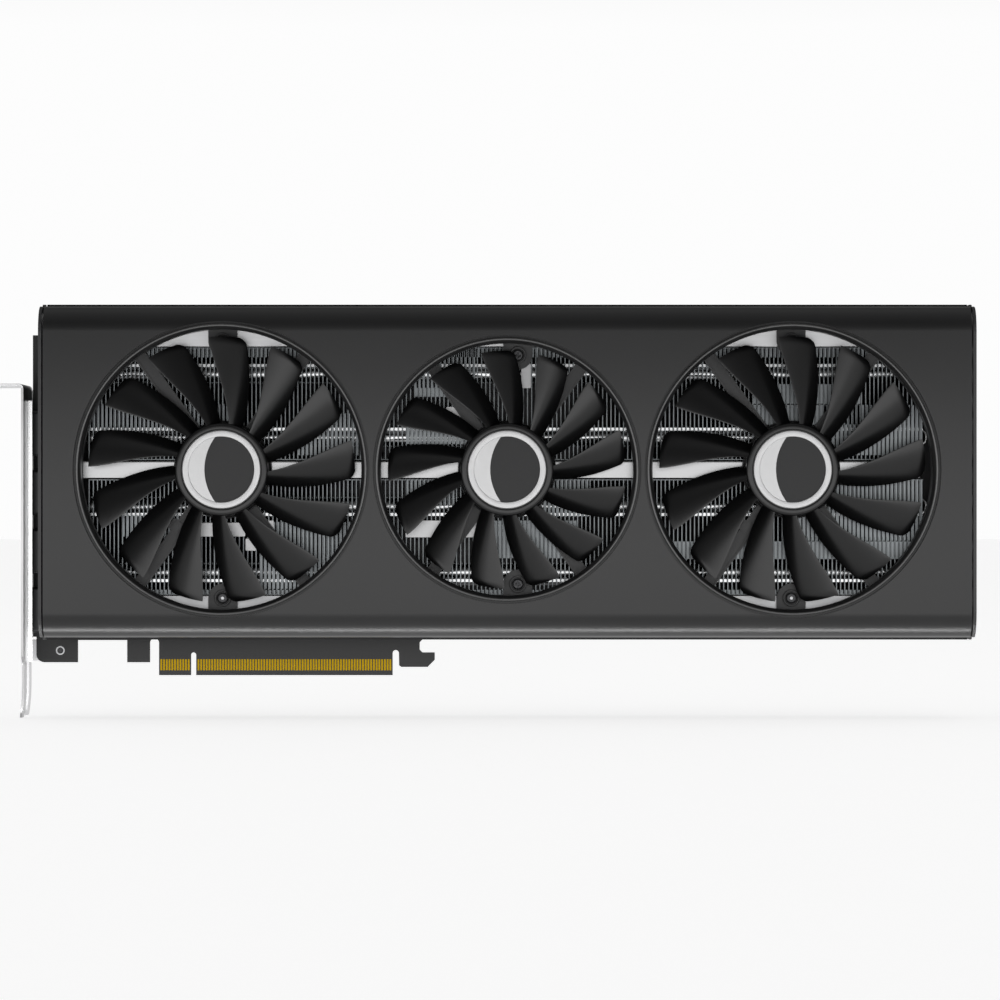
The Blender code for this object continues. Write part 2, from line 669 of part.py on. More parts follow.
def power_socket(name, left, card):
    """Housing of an eight way socket, open at its top."""
    low, high = (left, POWER_V[0], PART_BASE), (left + POWER_LENGTH, POWER_V[1], POWER_TOP)
    housing = box(name, low, high, BLACK, card)
    mouth = ((low[0] + POWER_WALL, low[1] + POWER_FLOOR, low[2] + POWER_WALL),
             (high[0] - POWER_WALL, high[1] + OVERCUT, high[2] - POWER_FRONT_WALL))
    combine(housing, boxes(name + "_mouth", [mouth], card), "DIFFERENCE")


def display_socket(name, v, card):
    """Metal shell of a display socket, open towards the bracket."""
    low = (BRACKET_U - SHELL_PROUD, v - SHELL_HALF[0], SOCKET_W - SHELL_HALF[1])
    high = (BRACKET_U + SHELL_DEPTH, v + SHELL_HALF[0], SOCKET_W + SHELL_HALF[1])
    shell = box(name, low, high, STEEL, card)
    mouth = ((low[0] - OVERCUT, low[1] + SHELL_WALL, low[2] + SHELL_WALL),
             (low[0] + SHELL_MOUTH, high[1] - SHELL_WALL, high[2] - SHELL_WALL))
    combine(shell, boxes(name + "_mouth", [mouth], card), "DIFFERENCE")


# ---------------------------------------------------------------- bracket and backplate

def bracket_outline():
    """The bracket's sheet, flat, as (w, v) points, with its two lower tips."""
    low, high = BRACKET_W
    foot = BRACKET_V[0]
    points = [(high, BRACKET_V[1]), (low, BRACKET_V[1]), (low, foot + SHOULDER)]
    for number in (0, 1):
        middle = FIRST_SLOT_W + SLOT_PITCH * number
        near, far = middle - TIP_WIDTH / 2, middle + TIP_WIDTH / 2
        across, up = TIP_CHAMFER
        points += [(near, foot + TIP_STEP * number), (near, TIP_V + up), (near + across, TIP_V)]
        points += [(far - across, TIP_V), (far, TIP_V + up), (far, foot + TIP_STEP * (1 - number))]
    return points + [(high, foot + SHOULDER)]


def bracket(card):
    """Sheet steel plate, the tab bent off its top, and the feet that are screwed to the board."""
    across = SHELL_HALF[1] + SOCKET_CLEARANCE[1]
    along = SHELL_HALF[0] + SOCKET_CLEARANCE[0]
    holes = [rounded((SOCKET_W - across, v - along), (SOCKET_W + across, v + along), 0.3, 1) for v in SOCKET_V]
    stand = empty("bracket_stand", card, (BRACKET_U, 0.0, 0.0), (0.0, -math.pi / 2, 0.0))
    made = plate("bracket", [bracket_outline()] + holes, -SHEET, 0.0, STEEL, stand)
    low, high = BRACKET_W
    left, top = BRACKET_U - TAB_LENGTH, BRACKET_V[1]
    tab = box("bracket_tab", (left, top - SHEET, low), (BRACKET_U + SHEET / 2, top, high), None, card, True)
    combine(made, tab, "UNION")
    notches = []
    for number in (0, 1):
        middle = FIRST_SLOT_W + SLOT_PITCH * number
        notches.append(((left - OVERCUT, top - OVERCUT, middle - TAB_NOTCH / 2),
                        (left + TAB_NOTCH_DEPTH, top + OVERCUT, middle + TAB_NOTCH / 2)))
    combine(made, boxes("tab_notches", notches, card), "DIFFERENCE")
    back = FOOT_BACK - SHEET
    feet = []
    for near, far in FOOT_V:
        feet.append(((BRACKET_U + SHEET / 2, near, back), (BRACKET_U + FOOT_LENGTH, far, FOOT_BACK)))
    combine(made, boxes("bracket_feet", feet, card), "UNION")
    bores = [circle(spot, FOOT_HOLE, 16) for spot in FOOT_HOLES.values()]
    combine(made, plate("foot_bores", bores, back - OVERCUT, 0.0, None, card, cutter=True), "DIFFERENCE")
    for label, spot in FOOT_HOLES.items():
        back_screw("bracket_screw_" + label, spot, FOOT_SCREW, back - GAP, card)


def back_screw(name, spot, sizes, head, card):
    """A screw driven from the back of the card, its head behind the plane w = head."""
    shank, radius, height, chamfer, end = (sizes[key] for key in ("shank", "head", "height", "chamfer", "end"))
    profile = [(0.0, end), (shank, end), (shank, head), (radius, head), (radius, head - height + chamfer),
               (radius - chamfer, head - height), (0.0, head - height)]
    turned(name, profile, STEEL, card, (spot[0], spot[1], 0.0), steps=12)


def backplate(card):
    """Flat metal cover on the board's back, with slots at the far end, and two of its screws."""
    left, right = BACK_SLOT_U
    slots = []
    for i in range(BACK_SLOTS):
        v = BACK_SLOT_V + BACK_SLOT_PITCH * i
        slots.append(rounded((left, v), (right, v + BACK_SLOT_HEIGHT), 2.0, 1))
    holes = [circle(spot, BACK_HOLE, 12) for spot in BACK_SCREWS.values()]
    outline = rounded((BACK_U[0], BACK_V[0]), (BACK_U[1], BACK_V[1]), BACK_CORNER, 4)
    plate("backplate", [outline] + slots + holes, BACK_W[0], BACK_W[1], GRAPHITE, card)
    for label, spot in BACK_SCREWS.items():
        back_screw("backplate_screw_" + label, spot, BACK_SCREW, BACK_W[0] - GAP, card)


for old in list(bpy.data.objects):
    bpy.data.objects.remove(old)
PARTS = collection("graphics_card")
CUTTERS = collection("cutters")
BLACK = material("black_plastic", (0.012, 0.012, 0.013), 0.42, 0.0)
GRAPHITE = material("graphite", (0.03, 0.03, 0.032), 0.45, 0.3)
SILVER = material("bright_nickel", (0.75, 0.76, 0.77), 0.25, 1.0)
STEEL = material("steel", (0.62, 0.63, 0.64), 0.3, 1.0)
FIN = material("aluminium_fin", (0.42, 0.44, 0.46), 0.38, 1.0)
COPPER = material("copper_winding", (0.5, 0.22, 0.09), 0.4, 1.0)
BOARD = material("board_black", (0.018, 0.018, 0.02), 0.5, 0.0)
CHIP = material("chip_black", (0.02, 0.02, 0.021), 0.55, 0.0)
GOLD = material("gold_plate", (0.6, 0.4, 0.07), 0.3, 1.0)
PALE = material("pale_nylon", (0.7, 0.68, 0.62), 0.6, 0.0)

CARD = empty("card", None, (0.0, 0.0, 0.0), (math.pi / 2, 0.0, 0.0))
shroud(CARD)
end_plate("end_plate_left", SHROUD_U[0], END_BACK["left"], (), CARD)
end_plate("end_plate_right", SHROUD_U[1] - END_PLATE, END_BACK["right"], END_VENTS, CARD)
for fan, fan_u in FAN_U.items():
    AXIS = empty("fan_axis_" + fan, CARD, (fan_u, FAN_V, 0.0))
    fan_rotor(fan, AXIS)
    fan_frame(fan, AXIS)
cooler(CARD)
board(CARD)
for socket, socket_u in POWER_U.items():
    power_socket("power_socket_" + socket, socket_u, CARD)
for order, height in enumerate(SOCKET_V):
    display_socket("display_socket_%d" % (order + 1), height, CARD)
bracket(CARD)
backplate(CARD)
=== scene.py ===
import json
from math import asin, atan2, cos, degrees, hypot, pi, radians, sin, tan

import bmesh
import bpy
from mathutils import Matrix, Vector


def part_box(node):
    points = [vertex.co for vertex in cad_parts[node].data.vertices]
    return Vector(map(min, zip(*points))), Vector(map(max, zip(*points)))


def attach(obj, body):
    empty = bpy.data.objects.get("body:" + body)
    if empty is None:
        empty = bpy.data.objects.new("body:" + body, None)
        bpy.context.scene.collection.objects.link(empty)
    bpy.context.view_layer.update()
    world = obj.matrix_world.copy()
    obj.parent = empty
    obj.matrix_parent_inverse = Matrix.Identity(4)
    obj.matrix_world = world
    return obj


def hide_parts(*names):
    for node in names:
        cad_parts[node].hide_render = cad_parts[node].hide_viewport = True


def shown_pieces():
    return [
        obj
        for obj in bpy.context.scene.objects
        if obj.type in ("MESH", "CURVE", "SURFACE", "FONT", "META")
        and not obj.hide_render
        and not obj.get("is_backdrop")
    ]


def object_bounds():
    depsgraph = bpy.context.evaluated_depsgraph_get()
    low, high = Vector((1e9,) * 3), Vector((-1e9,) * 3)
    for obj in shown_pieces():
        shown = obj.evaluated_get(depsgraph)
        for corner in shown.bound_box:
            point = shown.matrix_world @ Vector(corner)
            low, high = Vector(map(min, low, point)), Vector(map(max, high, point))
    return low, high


# The looks of the graphics card. Lengths are millimetres in the card's own frame: u along the card away
# from the bracket (world +X), v up from the connector (world +Z), w out of the board to the fans (-Y).
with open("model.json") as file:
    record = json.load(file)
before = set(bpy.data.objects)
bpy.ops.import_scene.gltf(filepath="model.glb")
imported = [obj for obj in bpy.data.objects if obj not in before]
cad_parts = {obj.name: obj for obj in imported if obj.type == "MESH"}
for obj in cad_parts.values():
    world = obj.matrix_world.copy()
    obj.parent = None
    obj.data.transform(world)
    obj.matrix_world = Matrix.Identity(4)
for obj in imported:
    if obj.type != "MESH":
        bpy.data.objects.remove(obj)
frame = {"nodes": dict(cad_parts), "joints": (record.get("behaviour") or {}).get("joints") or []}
CAD_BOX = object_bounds()
MM = 0.001
TO_WORLD = Matrix.Rotation(pi / 2, 4, "X") @ Matrix.Scale(MM, 4)


def card_box(node):
    """A CAD node's lowest and highest corner as (u, v, w) in millimetres."""
    low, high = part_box(node)
    return ((low.x / MM, low.z / MM, -high.y / MM), (high.x / MM, high.z / MM, -low.y / MM))


SIDES = ("left", "middle", "right")
AXES = {}
for joint in frame["joints"]:
    AXES[joint["child"].split("_")[1]] = (joint["pos_m"][0] / MM, joint["pos_m"][2] / MM)
RING_WIDTH = 3.0  # the fan frame's ring, outside the opening
OPENING = {side: (card_box("fan_frame_" + side)[1][0] - AXES[side][0]) - RING_WIDTH for side in SIDES}
SHROUD_LOW, SHROUD_HIGH = card_box("shroud")
FRONT = SHROUD_HIGH[2]


# -------- materials

SMUDGE_SCALE = 28.0  # broad variation, per metre
GRAIN_SHARE = 0.45  # of the fine grain in the mix of the two
RELIEF_DEPTH = 0.00004  # metres


def set_inputs(node, values):
    """Set a shader node's inputs by name."""
    for name, value in values.items():
        node.inputs[name].default_value = value


def noise(nodes, links, where, scale, detail):
    """A noise texture over some coordinates."""
    made = nodes.new("ShaderNodeTexNoise")
    set_inputs(made, {"Scale": scale, "Detail": detail})
    links.new(where, made.inputs["Vector"])
    return made.outputs["Fac"]


def shade(name, colour, roughness, metallic=0.0, grain=2500.0, bump=0.15, spread=0.12, streak=None,
          specular=0.5, glow=0.0):
    """A finish with colour and gloss variation, fine grain and soft smudges.

    grain is the texture's frequency per metre, streak stretches it along one axis like brushed metal."""
    made = bpy.data.materials.new(name)
    made.use_nodes = True
    nodes, links = made.node_tree.nodes, made.node_tree.links
    shader = nodes["Principled BSDF"]
    set_inputs(shader, {"Metallic": metallic, "Specular IOR Level": specular,
                        "Emission Color": (1.0, 1.0, 1.0, 1.0), "Emission Strength": glow})
    place = nodes.new("ShaderNodeTexCoord").outputs["Object"]
    stretch = nodes.new("ShaderNodeMapping")
    set_inputs(stretch, {"Scale": streak or (1.0, 1.0, 1.0)})
    links.new(place, stretch.inputs["Vector"])
    fine = noise(nodes, links, stretch.outputs["Vector"], grain, 3.0)
    broad = noise(nodes, links, place, SMUDGE_SCALE, 4.0)
    tint = nodes.new("ShaderNodeValToRGB")
    for element, position, share in zip(tint.color_ramp.elements, (0.3, 0.7), (1 - spread, 1 + spread)):
        element.position = position
        element.color = (*[min(1.0, c * share) for c in colour], 1.0)
    blend = nodes.new("ShaderNodeMix")
    set_inputs(blend, {"Factor": GRAIN_SHARE})
    links.new(broad, blend.inputs["A"])
    links.new(fine, blend.inputs["B"])
    links.new(blend.outputs["Result"], tint.inputs["Fac"])
    gloss = nodes.new("ShaderNodeMapRange")
    set_inputs(gloss, {"To Min": max(0.02, roughness - 0.06), "To Max": roughness + 0.07})
    links.new(blend.outputs["Result"], gloss.inputs["Value"])
    links.new(gloss.outputs["Result"], shader.inputs["Roughness"])
    links.new(tint.outputs["Color"], shader.inputs["Base Color"])
    if bump:
        relief = nodes.new("ShaderNodeBump")
        set_inputs(relief, {"Strength": bump, "Distance": RELIEF_DEPTH})
        links.new(fine, relief.inputs["Height"])
        links.new(relief.outputs["Normal"], shader.inputs["Normal"])
    return made


BRUSHED_U = (0.02, 1.0, 1.0)
BRUSHED_V = (1.0, 1.0, 0.05)
COVER = shade("cover_plastic", (0.010, 0.010, 0.0102), 0.32, grain=3200.0, bump=0.18, specular=0.34)
# A darker, duller copy of the cover plastic: painted shade on the skirt
COVER_PAINTED_SHADE = shade("cover_painted_shade", (0.006, 0.006, 0.0062), 0.6, grain=3200.0, bump=0.18, specular=0.12)
# A paler, glossier copy of the cover plastic: edge wear on the cover's bevels, a painted highlight on the
# bezel lips
COVER_WEAR_AND_HIGHLIGHT = shade("cover_wear_and_highlight", (0.035, 0.035, 0.035), 0.28, grain=3200.0, bump=0.1, specular=0.7)
BACK_EDGE = shade("backplate_edge", (0.09, 0.09, 0.092), 0.3, 0.6, grain=3500.0, bump=0.1)
BLADE = shade("blade_plastic", (0.0037, 0.0037, 0.0039), 0.3, grain=3000.0, bump=0.1, specular=0.4)
FRAME_PLASTIC = shade("frame_plastic", (0.018, 0.018, 0.0187), 0.45, grain=3000.0, bump=0.2, specular=0.45)
HUB_DARK = shade("hub_face", (0.0155, 0.0155, 0.016), 0.5, grain=4000.0, bump=0.1, specular=0.3)
HUB_LIGHT = shade("hub_silver", (0.465, 0.465, 0.468), 0.42, 0.5, grain=5000.0, bump=0.08, spread=0.04)
FIN_METAL = shade("fin_aluminium", (0.142, 0.151, 0.156), 0.36, 1.0, grain=900.0, bump=0.1, spread=0.14,
                  streak=(1.0, 1.0, 0.08))
# A darker, rougher copy of the fin aluminium for the sheets' sides: painted shade in the gaps between fins
FIN_FLANK_PAINTED_SHADE = shade("fin_flank_painted_shade", (0.028, 0.03, 0.033), 0.5, 1.0, grain=900.0, bump=0.1, spread=0.14)
RAIL_METAL = shade("rail_aluminium", (0.33, 0.332, 0.337), 0.34, 1.0, grain=1500.0, bump=0.12, spread=0.08,
                   streak=BRUSHED_U)
# A brighter copy of the rail aluminium for the top rail: painted light where it reflects the dim sky
RAIL_PAINTED_LIGHT = shade("rail_aluminium_painted_light", (0.5, 0.502, 0.508), 0.34, 1.0, grain=1500.0, bump=0.12,
                    spread=0.08, streak=BRUSHED_U)
BAR_METAL = shade("polished_bar", (0.29, 0.29, 0.293), 0.24, 1.0, grain=1300.0, bump=0.08, spread=0.04,
                  streak=BRUSHED_U)
PIPE_METAL = shade("plated_pipe", (0.5, 0.505, 0.51), 0.22, 1.0, grain=500.0, bump=0.05, spread=0.05)
STEEL = shade("bracket_steel", (0.6, 0.6, 0.607), 0.36, 0.9, grain=1800.0, bump=0.1, spread=0.06,
              streak=BRUSHED_V)
# A near-white copy of the bracket steel: a painted highlight on the folded strip
STEEL_PAINTED_HIGHLIGHT = shade("bracket_steel_painted_highlight", (0.97, 0.97, 0.975), 0.2, 0.9, grain=1800.0, bump=0.03,
                     spread=0.03, streak=BRUSHED_V)
# A darker copy of the bracket steel: painted shade on the sheet's front part
STEEL_PAINTED_SHADE = shade("bracket_steel_painted_shade", (0.36, 0.36, 0.364), 0.3, 0.95, grain=1800.0, bump=0.1, spread=0.2,
                   streak=BRUSHED_V)
SCREW_STEEL = shade("screw_steel", (0.17, 0.17, 0.175), 0.3, 1.0, bump=0.1)
BRIDGE_METAL = shade("bridge_aluminium", (0.31, 0.31, 0.313), 0.35, 1.0, grain=1400.0, bump=0.1,
                     spread=0.05, streak=BRUSHED_U)
PLATE_METAL = shade("cold_plate", (0.09, 0.09, 0.092), 0.4, 1.0, grain=900.0, bump=0.1)
SHELL_METAL = shade("socket_shell", (0.045, 0.045, 0.046), 0.3, 1.0, grain=2000.0, bump=0.1)
BLACK_STEEL = shade("screw_black", (0.04, 0.04, 0.042), 0.35, 0.7)
SOLDER_MASK = shade("solder_mask", (0.008, 0.008, 0.0083), 0.4, grain=700.0, bump=0.2, specular=0.35)
BOARD_EDGE = shade("board_edge", (0.055, 0.05, 0.035), 0.7, grain=2200.0, bump=0.4)
GOLD = shade("gold_plate", (0.25, 0.16, 0.004), 0.32, 1.0, bump=0.1, spread=0.1)
CHIP = shade("chip_epoxy", (0.02, 0.02, 0.021), 0.5, grain=5000.0, bump=0.35)
SILICON = shade("silicon", (0.16, 0.17, 0.2), 0.12, 0.7, grain=1200.0, bump=0.02)
COPPER = shade("copper_winding", (0.62, 0.24, 0.09), 0.35, 1.0, grain=900.0, bump=0.5,
               streak=(1.0, 12.0, 1.0))
NYLON = shade("pale_nylon", (0.7, 0.68, 0.62), 0.5, grain=1500.0, bump=0.1, spread=0.05)
SOCKET_BLACK = shade("socket_plastic", (0.013, 0.013, 0.013), 0.4, grain=1800.0, bump=0.2)
BACK_METAL = shade("backplate_coat", (0.02, 0.02, 0.021), 0.4, 0.4, grain=3500.0, bump=0.3)


# -------- mesh helpers

def arc(centre, radius, start, stop, steps):
    """Points along an arc, angles in degrees."""
    points = []
    for i in range(steps + 1):
        angle = radians(start + (stop - start) * i / steps)
        points.append((centre[0] + radius * cos(angle), centre[1] + radius * sin(angle)))
    return points


def circle(centre, radius, steps=64):
    """Points round a whole circle, the first one not repeated."""
    return arc(centre, radius, 0.0, 360.0, steps)[:-1]


def rounded(low, high, radius, steps=6):
    """Outline of a rectangle with round corners."""
    left, bottom = low[0] + radius, low[1] + radius
    right, top = high[0] - radius, high[1] - radius
    return (arc((right, bottom), radius, -90.0, 0.0, steps)
            + arc((right, top), radius, 0.0, 90.0, steps)
            + arc((left, top), radius, 90.0, 180.0, steps)
            + arc((left, bottom), radius, 180.0, 270.0, steps))


def lathe(bm, profile, steps, centre=(0.0, 0.0), closed=True, finish=0):
    """Turn (radius, w) points about w. A point on the axis becomes a pole."""
    rings = []
    for radius, w in profile:
        if radius < 1e-6:
            rings.append([bm.verts.new((centre[0], centre[1], w))])
        else:
            rings.append([bm.verts.new((x, y, w)) for x, y in circle(centre, radius, steps)])
    count = len(rings) if closed else len(rings) - 1
    for i in range(count):
        near, far = rings[i], rings[(i + 1) % len(rings)]
        for j in range(steps):
            k = (j + 1) % steps
            corners = [near[j % len(near)], near[k % len(near)], far[k % len(far)], far[j % len(far)]]
            corners = list(dict.fromkeys(corners))  # a pole's corners are one
            if len(corners) > 2:
                bm.faces.new(corners).material_index = finish


def block(bm, low, high, finish=0):
    """A box from corner to corner."""
    made = bmesh.ops.create_cube(bm, size=1.0)
    for vert in made["verts"]:
        for axis in range(3):
            vert.co[axis] = (low[axis] + high[axis]) / 2 + vert.co[axis] * (high[axis] - low[axis])
        for face in vert.link_faces:
            face.material_index = finish


def prism(bm, outline, low, high, finish=0):
    """A flat (u, v) outline without holes, between two depths w."""
    bottom = [bm.verts.new((x, y, low)) for x, y in outline]
    top = [bm.verts.new((x, y, high)) for x, y in outline]
    bm.faces.new(bottom[::-1]).material_index = finish
    bm.faces.new(top).material_index = finish
    for i in range(len(outline)):
        k = (i + 1) % len(outline)
        bm.faces.new((bottom[i], bottom[k], top[k], top[i])).material_index = finish


def in_scene(name, data):
    """An object of some data, in the scene."""
    made = bpy.data.objects.new(name, data)
    bpy.context.scene.collection.objects.link(made)
    return made


def baked(made):
    """A new mesh of an object, as its curve or its modifiers shape it."""
    bpy.context.view_layer.update()
    return bpy.data.meshes.new_from_object(made.evaluated_get(bpy.context.evaluated_depsgraph_get()))


def plate(bm, outlines, low, high):
    """A flat (u, v) outline with holes, between two depths w."""
    curve = bpy.data.curves.new("outline", "CURVE")
    curve.dimensions = "2D"
    curve.fill_mode = "BOTH"
    curve.extrude = (high - low) / 2
    for outline in outlines:
        spline = curve.splines.new("POLY")
        spline.points.add(len(outline) - 1)
        for point, (x, y) in zip(spline.points, outline):
            point.co = (x, y, 0.0, 1.0)
        spline.use_cyclic_u = True
    flat = in_scene("outline", curve)
    data = baked(flat)
    bpy.data.objects.remove(flat)
    data.transform(Matrix.Translation((0.0, 0.0, (low + high) / 2)))
    fresh = bmesh.new()
    fresh.from_mesh(data)
    bmesh.ops.remove_doubles(fresh, verts=fresh.verts, dist=0.0005)
    bmesh.ops.dissolve_limit(fresh, angle_limit=0.001, verts=fresh.verts, edges=fresh.edges)
    fresh.to_mesh(data)
    fresh.free()
    for polygon in data.polygons:
        polygon.material_index = 0
    bm.from_mesh(data)
    bpy.data.meshes.remove(data)


def placed_mesh(name, bm, turn=None):
    """Mesh data of bm in the world, from the card's frame unless turn says otherwise."""
    bmesh.ops.recalc_face_normals(bm, faces=bm.faces)
    data = bpy.data.meshes.new(name)
    bm.to_mesh(data)
    bm.free()
    if turn:
        data.transform(turn)
    data.transform(TO_WORLD)
    return data


def smooth(data, angle):
    """Smooth shading, except across edges sharper than so many degrees."""
    data.shade_smooth()
    data.set_sharp_from_angle(angle=radians(angle))


def piece(name, bm, finishes, stands_for=(), turn=None, sharp=32.0, body="card"):
    """Make an object of bm that rides on a body, and hide the CAD nodes it stands for."""
    data = placed_mesh(name, bm, turn)
    smooth(data, sharp)
    made = in_scene(name, data)
    for finish in finishes if isinstance(finishes, list) else [finishes]:
        data.materials.append(finish)
    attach(made, body)
    if stands_for:
        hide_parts(*stands_for)
    return made


def soften(made, width, segments=2, angle=35.0, edge_wear_and_highlight=None):
    """Small round edges, width in millimetres, in a paler finish on the bevels: edge wear, and on the cover
    also a painted highlight.
    """
    edge = made.modifiers.new("edge", "BEVEL")
    if edge_wear_and_highlight:
        made.data.materials.append(edge_wear_and_highlight)
        edge.material = len(made.data.materials) - 1
    edge.width = width * MM
    edge.segments = segments
    edge.limit_method = "ANGLE"
    edge.angle_limit = radians(angle)
    edge.use_clamp_overlap = True
    even = made.modifiers.new("even", "WEIGHTED_NORMAL")
    even.keep_sharp = True
    even.weight = 90


def cut(made, bm):
    """Take the closed shapes in bm, in the card's frame, out of a piece."""
    tool = in_scene("cutter", placed_mesh("cutter", bm))
    step = made.modifiers.new("cut", "BOOLEAN")
    step.operation = "DIFFERENCE"
    step.solver = "EXACT"
    step.object = tool
    shape, data = tool.data, baked(made)
    made.modifiers.clear()
    made.data = data
    bpy.data.objects.remove(tool)
    bpy.data.meshes.remove(shape)


def cut_cross(made, u, v, arms, low, high):
    """Cut a cross recess, arms being half its width and half a slit's."""
    for wide, tall in (arms, arms[::-1]):
        cross = bmesh.new()
        block(cross, (u - wide, v - tall, low), (u + wide, v + tall, high))
        cut(made, cross)


def second_finish(made, chosen):
    """Put a piece's second finish on the faces that a test chooses."""
    for face in made.data.polygons:
        if chosen(face):
            face.material_index = 1


# -------- fans

HUB_RADIUS = 16.6
HUB_FRONT = 44.0
HUB_BACK = 34.3
HUB_WALL = 1.5
HUB_ROUND = 1.3  # the cup's outer shoulder
CUP_SEAT = 43.1  # the cup's floor, front and back
CUP_BACK = 41.9
CAP_RADIUS = 13.9
CAP_GAP = 0.35
CAP_FACE = HUB_FRONT - 0.25
CAP_BASE = 43.45
DISC_RADIUS = 12.3
RIM_INNER = 11.75
CRESCENT_TOP = 100.0  # degrees
CRESCENT_RADIUS = 11.9  # its outer edge, and the centre of its inner one
CRESCENT_CENTRE = 13.4
CRESCENT_FRONT = 44.12
BLADES = 13
TIP_CLEARANCE = 2.4
FIRST_BLADE = {"left": 95.7, "middle": 102.5, "right": 96.3}  # degrees
TIP_CHORD = 16.0  # degrees between the edges at the tip
LEAD_SWEEP = 15.5  # degrees by which the root trails the tip
TRAIL_SWEEP = 16.0
LEAD_BOW = 1.6  # how fast each edge's sweep fades
TRAIL_BOW = 1.07
LEAD_W = (43.0, 42.4)  # depth of each edge at the root and the tip
TRAIL_W = (36.5, 37.1)
CAMBER = 0.7
BLADE_THICKNESS = (1.45, 0.9)  # at the root and the tip
EDGE_SHARE = 0.16  # of that thickness, left at the edges
FULLNESS = 0.55
TIP_ROUND_START = 0.93  # along the blade
TIP_ROUND = 2.6  # degrees off the trailing corner
TIP_ROUND_BOW = 2.5
TIP_THINNING = 0.45
SPAN_BOW = 1.25  # crowds a blade's sections towards its tip
EAR_SHIFT = {"left": 0.0, "middle": 3.9, "right": 0.0}
EAR_INSET = 3.9
EAR_HALF_WIDTH = 5.2
EAR_HOLE = 1.35
STRUT_ANGLES = (54.0, 126.0, 234.0, 306.0)
STRUT_WIDTH = 4.6
RIB_HALF = 0.35  # half the width of the ribs on a strut's edges
RIB_START = 17.8
FRAME_BACK, FRAME_FRONT = 31.3, 33.3
FRAME_HOLE = 2.5  # in the motor plate
TUBE_RADIUS = 3.6  # bearing tube
TUBE_BORE = 1.65
TUBE_FRONT = 40.5
CLIP_START = 24.2  # from the fan's axis


def blade_point(tip_radius, along, across, side):
    """A point on a blade: along from root to tip, across from leading to trailing edge, side 1 or -1."""
    root = HUB_RADIUS - HUB_WALL / 2
    radius = root + (tip_radius - root) * along
    round_off = max(0.0, (along - TIP_ROUND_START) / (1 - TIP_ROUND_START))
    lead = -LEAD_SWEEP * (1 - along) ** LEAD_BOW
    trail = -TIP_CHORD - TRAIL_SWEEP * (1 - along) ** TRAIL_BOW + TIP_ROUND * round_off ** TIP_ROUND_BOW
    angle = radians(lead + (trail - lead) * across)
    lead_w = LEAD_W[0] + (LEAD_W[1] - LEAD_W[0]) * along
    trail_w = TRAIL_W[0] + (TRAIL_W[1] - TRAIL_W[0]) * along
    swell = sin(pi * across)
    thickness = BLADE_THICKNESS[0] + (BLADE_THICKNESS[1] - BLADE_THICKNESS[0]) * along
    thickness *= 1 - TIP_THINNING * round_off ** 2
    half = thickness / 2 * (EDGE_SHARE + (1 - EDGE_SHARE) * max(0.0, swell) ** FULLNESS)
    w = lead_w + (trail_w - lead_w) * across + CAMBER * swell + side * half
    return radius * cos(angle), radius * sin(angle), w


def add_blade(bm, tip_radius, turn, spans=26, chords=14):
    """One blade, closed all round, turned about the fan's axis."""
    spots = [0.5 - 0.5 * cos(pi * j / chords) for j in range(chords + 1)]
    reach = [1.0 - (1.0 - i / spans) ** SPAN_BOW for i in range(spans + 1)]
    rows = []
    for along in reach:
        ring = [blade_point(tip_radius, along, across, 1) for across in spots]
        ring += [blade_point(tip_radius, along, across, -1) for across in reversed(spots)]
        rows.append([bm.verts.new((x * cos(turn) - y * sin(turn),
                                   x * sin(turn) + y * cos(turn), w)) for x, y, w in ring])
    around = len(rows[0])
    for i in range(spans):
        for j in range(around):
            k = (j + 1) % around
            bm.faces.new((rows[i][j], rows[i + 1][j], rows[i + 1][k], rows[i][k]))
    for row in (rows[0], rows[-1]):
        for j in range(chords):
            bm.faces.new((row[j], row[j + 1], row[around - 2 - j], row[around - 1 - j]))


def hub_frame(side):
    """From a fan's own frame, about its axis, to the card's."""
    return Matrix.Translation((*AXES[side], 0.0))


def rotor(side):
    """Hub cup with a rounded shoulder, and its blades."""
    bm = bmesh.new()
    recess = CAP_RADIUS + CAP_GAP
    lip = HUB_FRONT - 0.35
    wall = HUB_RADIUS - HUB_WALL
    cup = [(0.0, CUP_SEAT), (recess, CUP_SEAT), (recess, lip)]
    cup += arc((recess + 0.4, lip), 0.4, 180.0, 90.0, 4)
    cup += arc((HUB_RADIUS - HUB_ROUND, HUB_FRONT - HUB_ROUND), HUB_ROUND, 90.0, 0.0, 8)
    cup += [(HUB_RADIUS, HUB_BACK + 0.3), (HUB_RADIUS - 0.3, HUB_BACK), (wall, HUB_BACK)]
    cup += [(wall, CUP_BACK), (0.0, CUP_BACK)]
    lathe(bm, cup, 96, closed=False)
    tip_radius = OPENING[side] - TIP_CLEARANCE
    for number in range(BLADES):
        add_blade(bm, tip_radius, radians(FIRST_BLADE[side] + 360.0 * number / BLADES))
    piece("rotor_" + side, bm, BLADE, ["fan_rotor_" + side], hub_frame(side), 40.0,
          "fan_" + side)


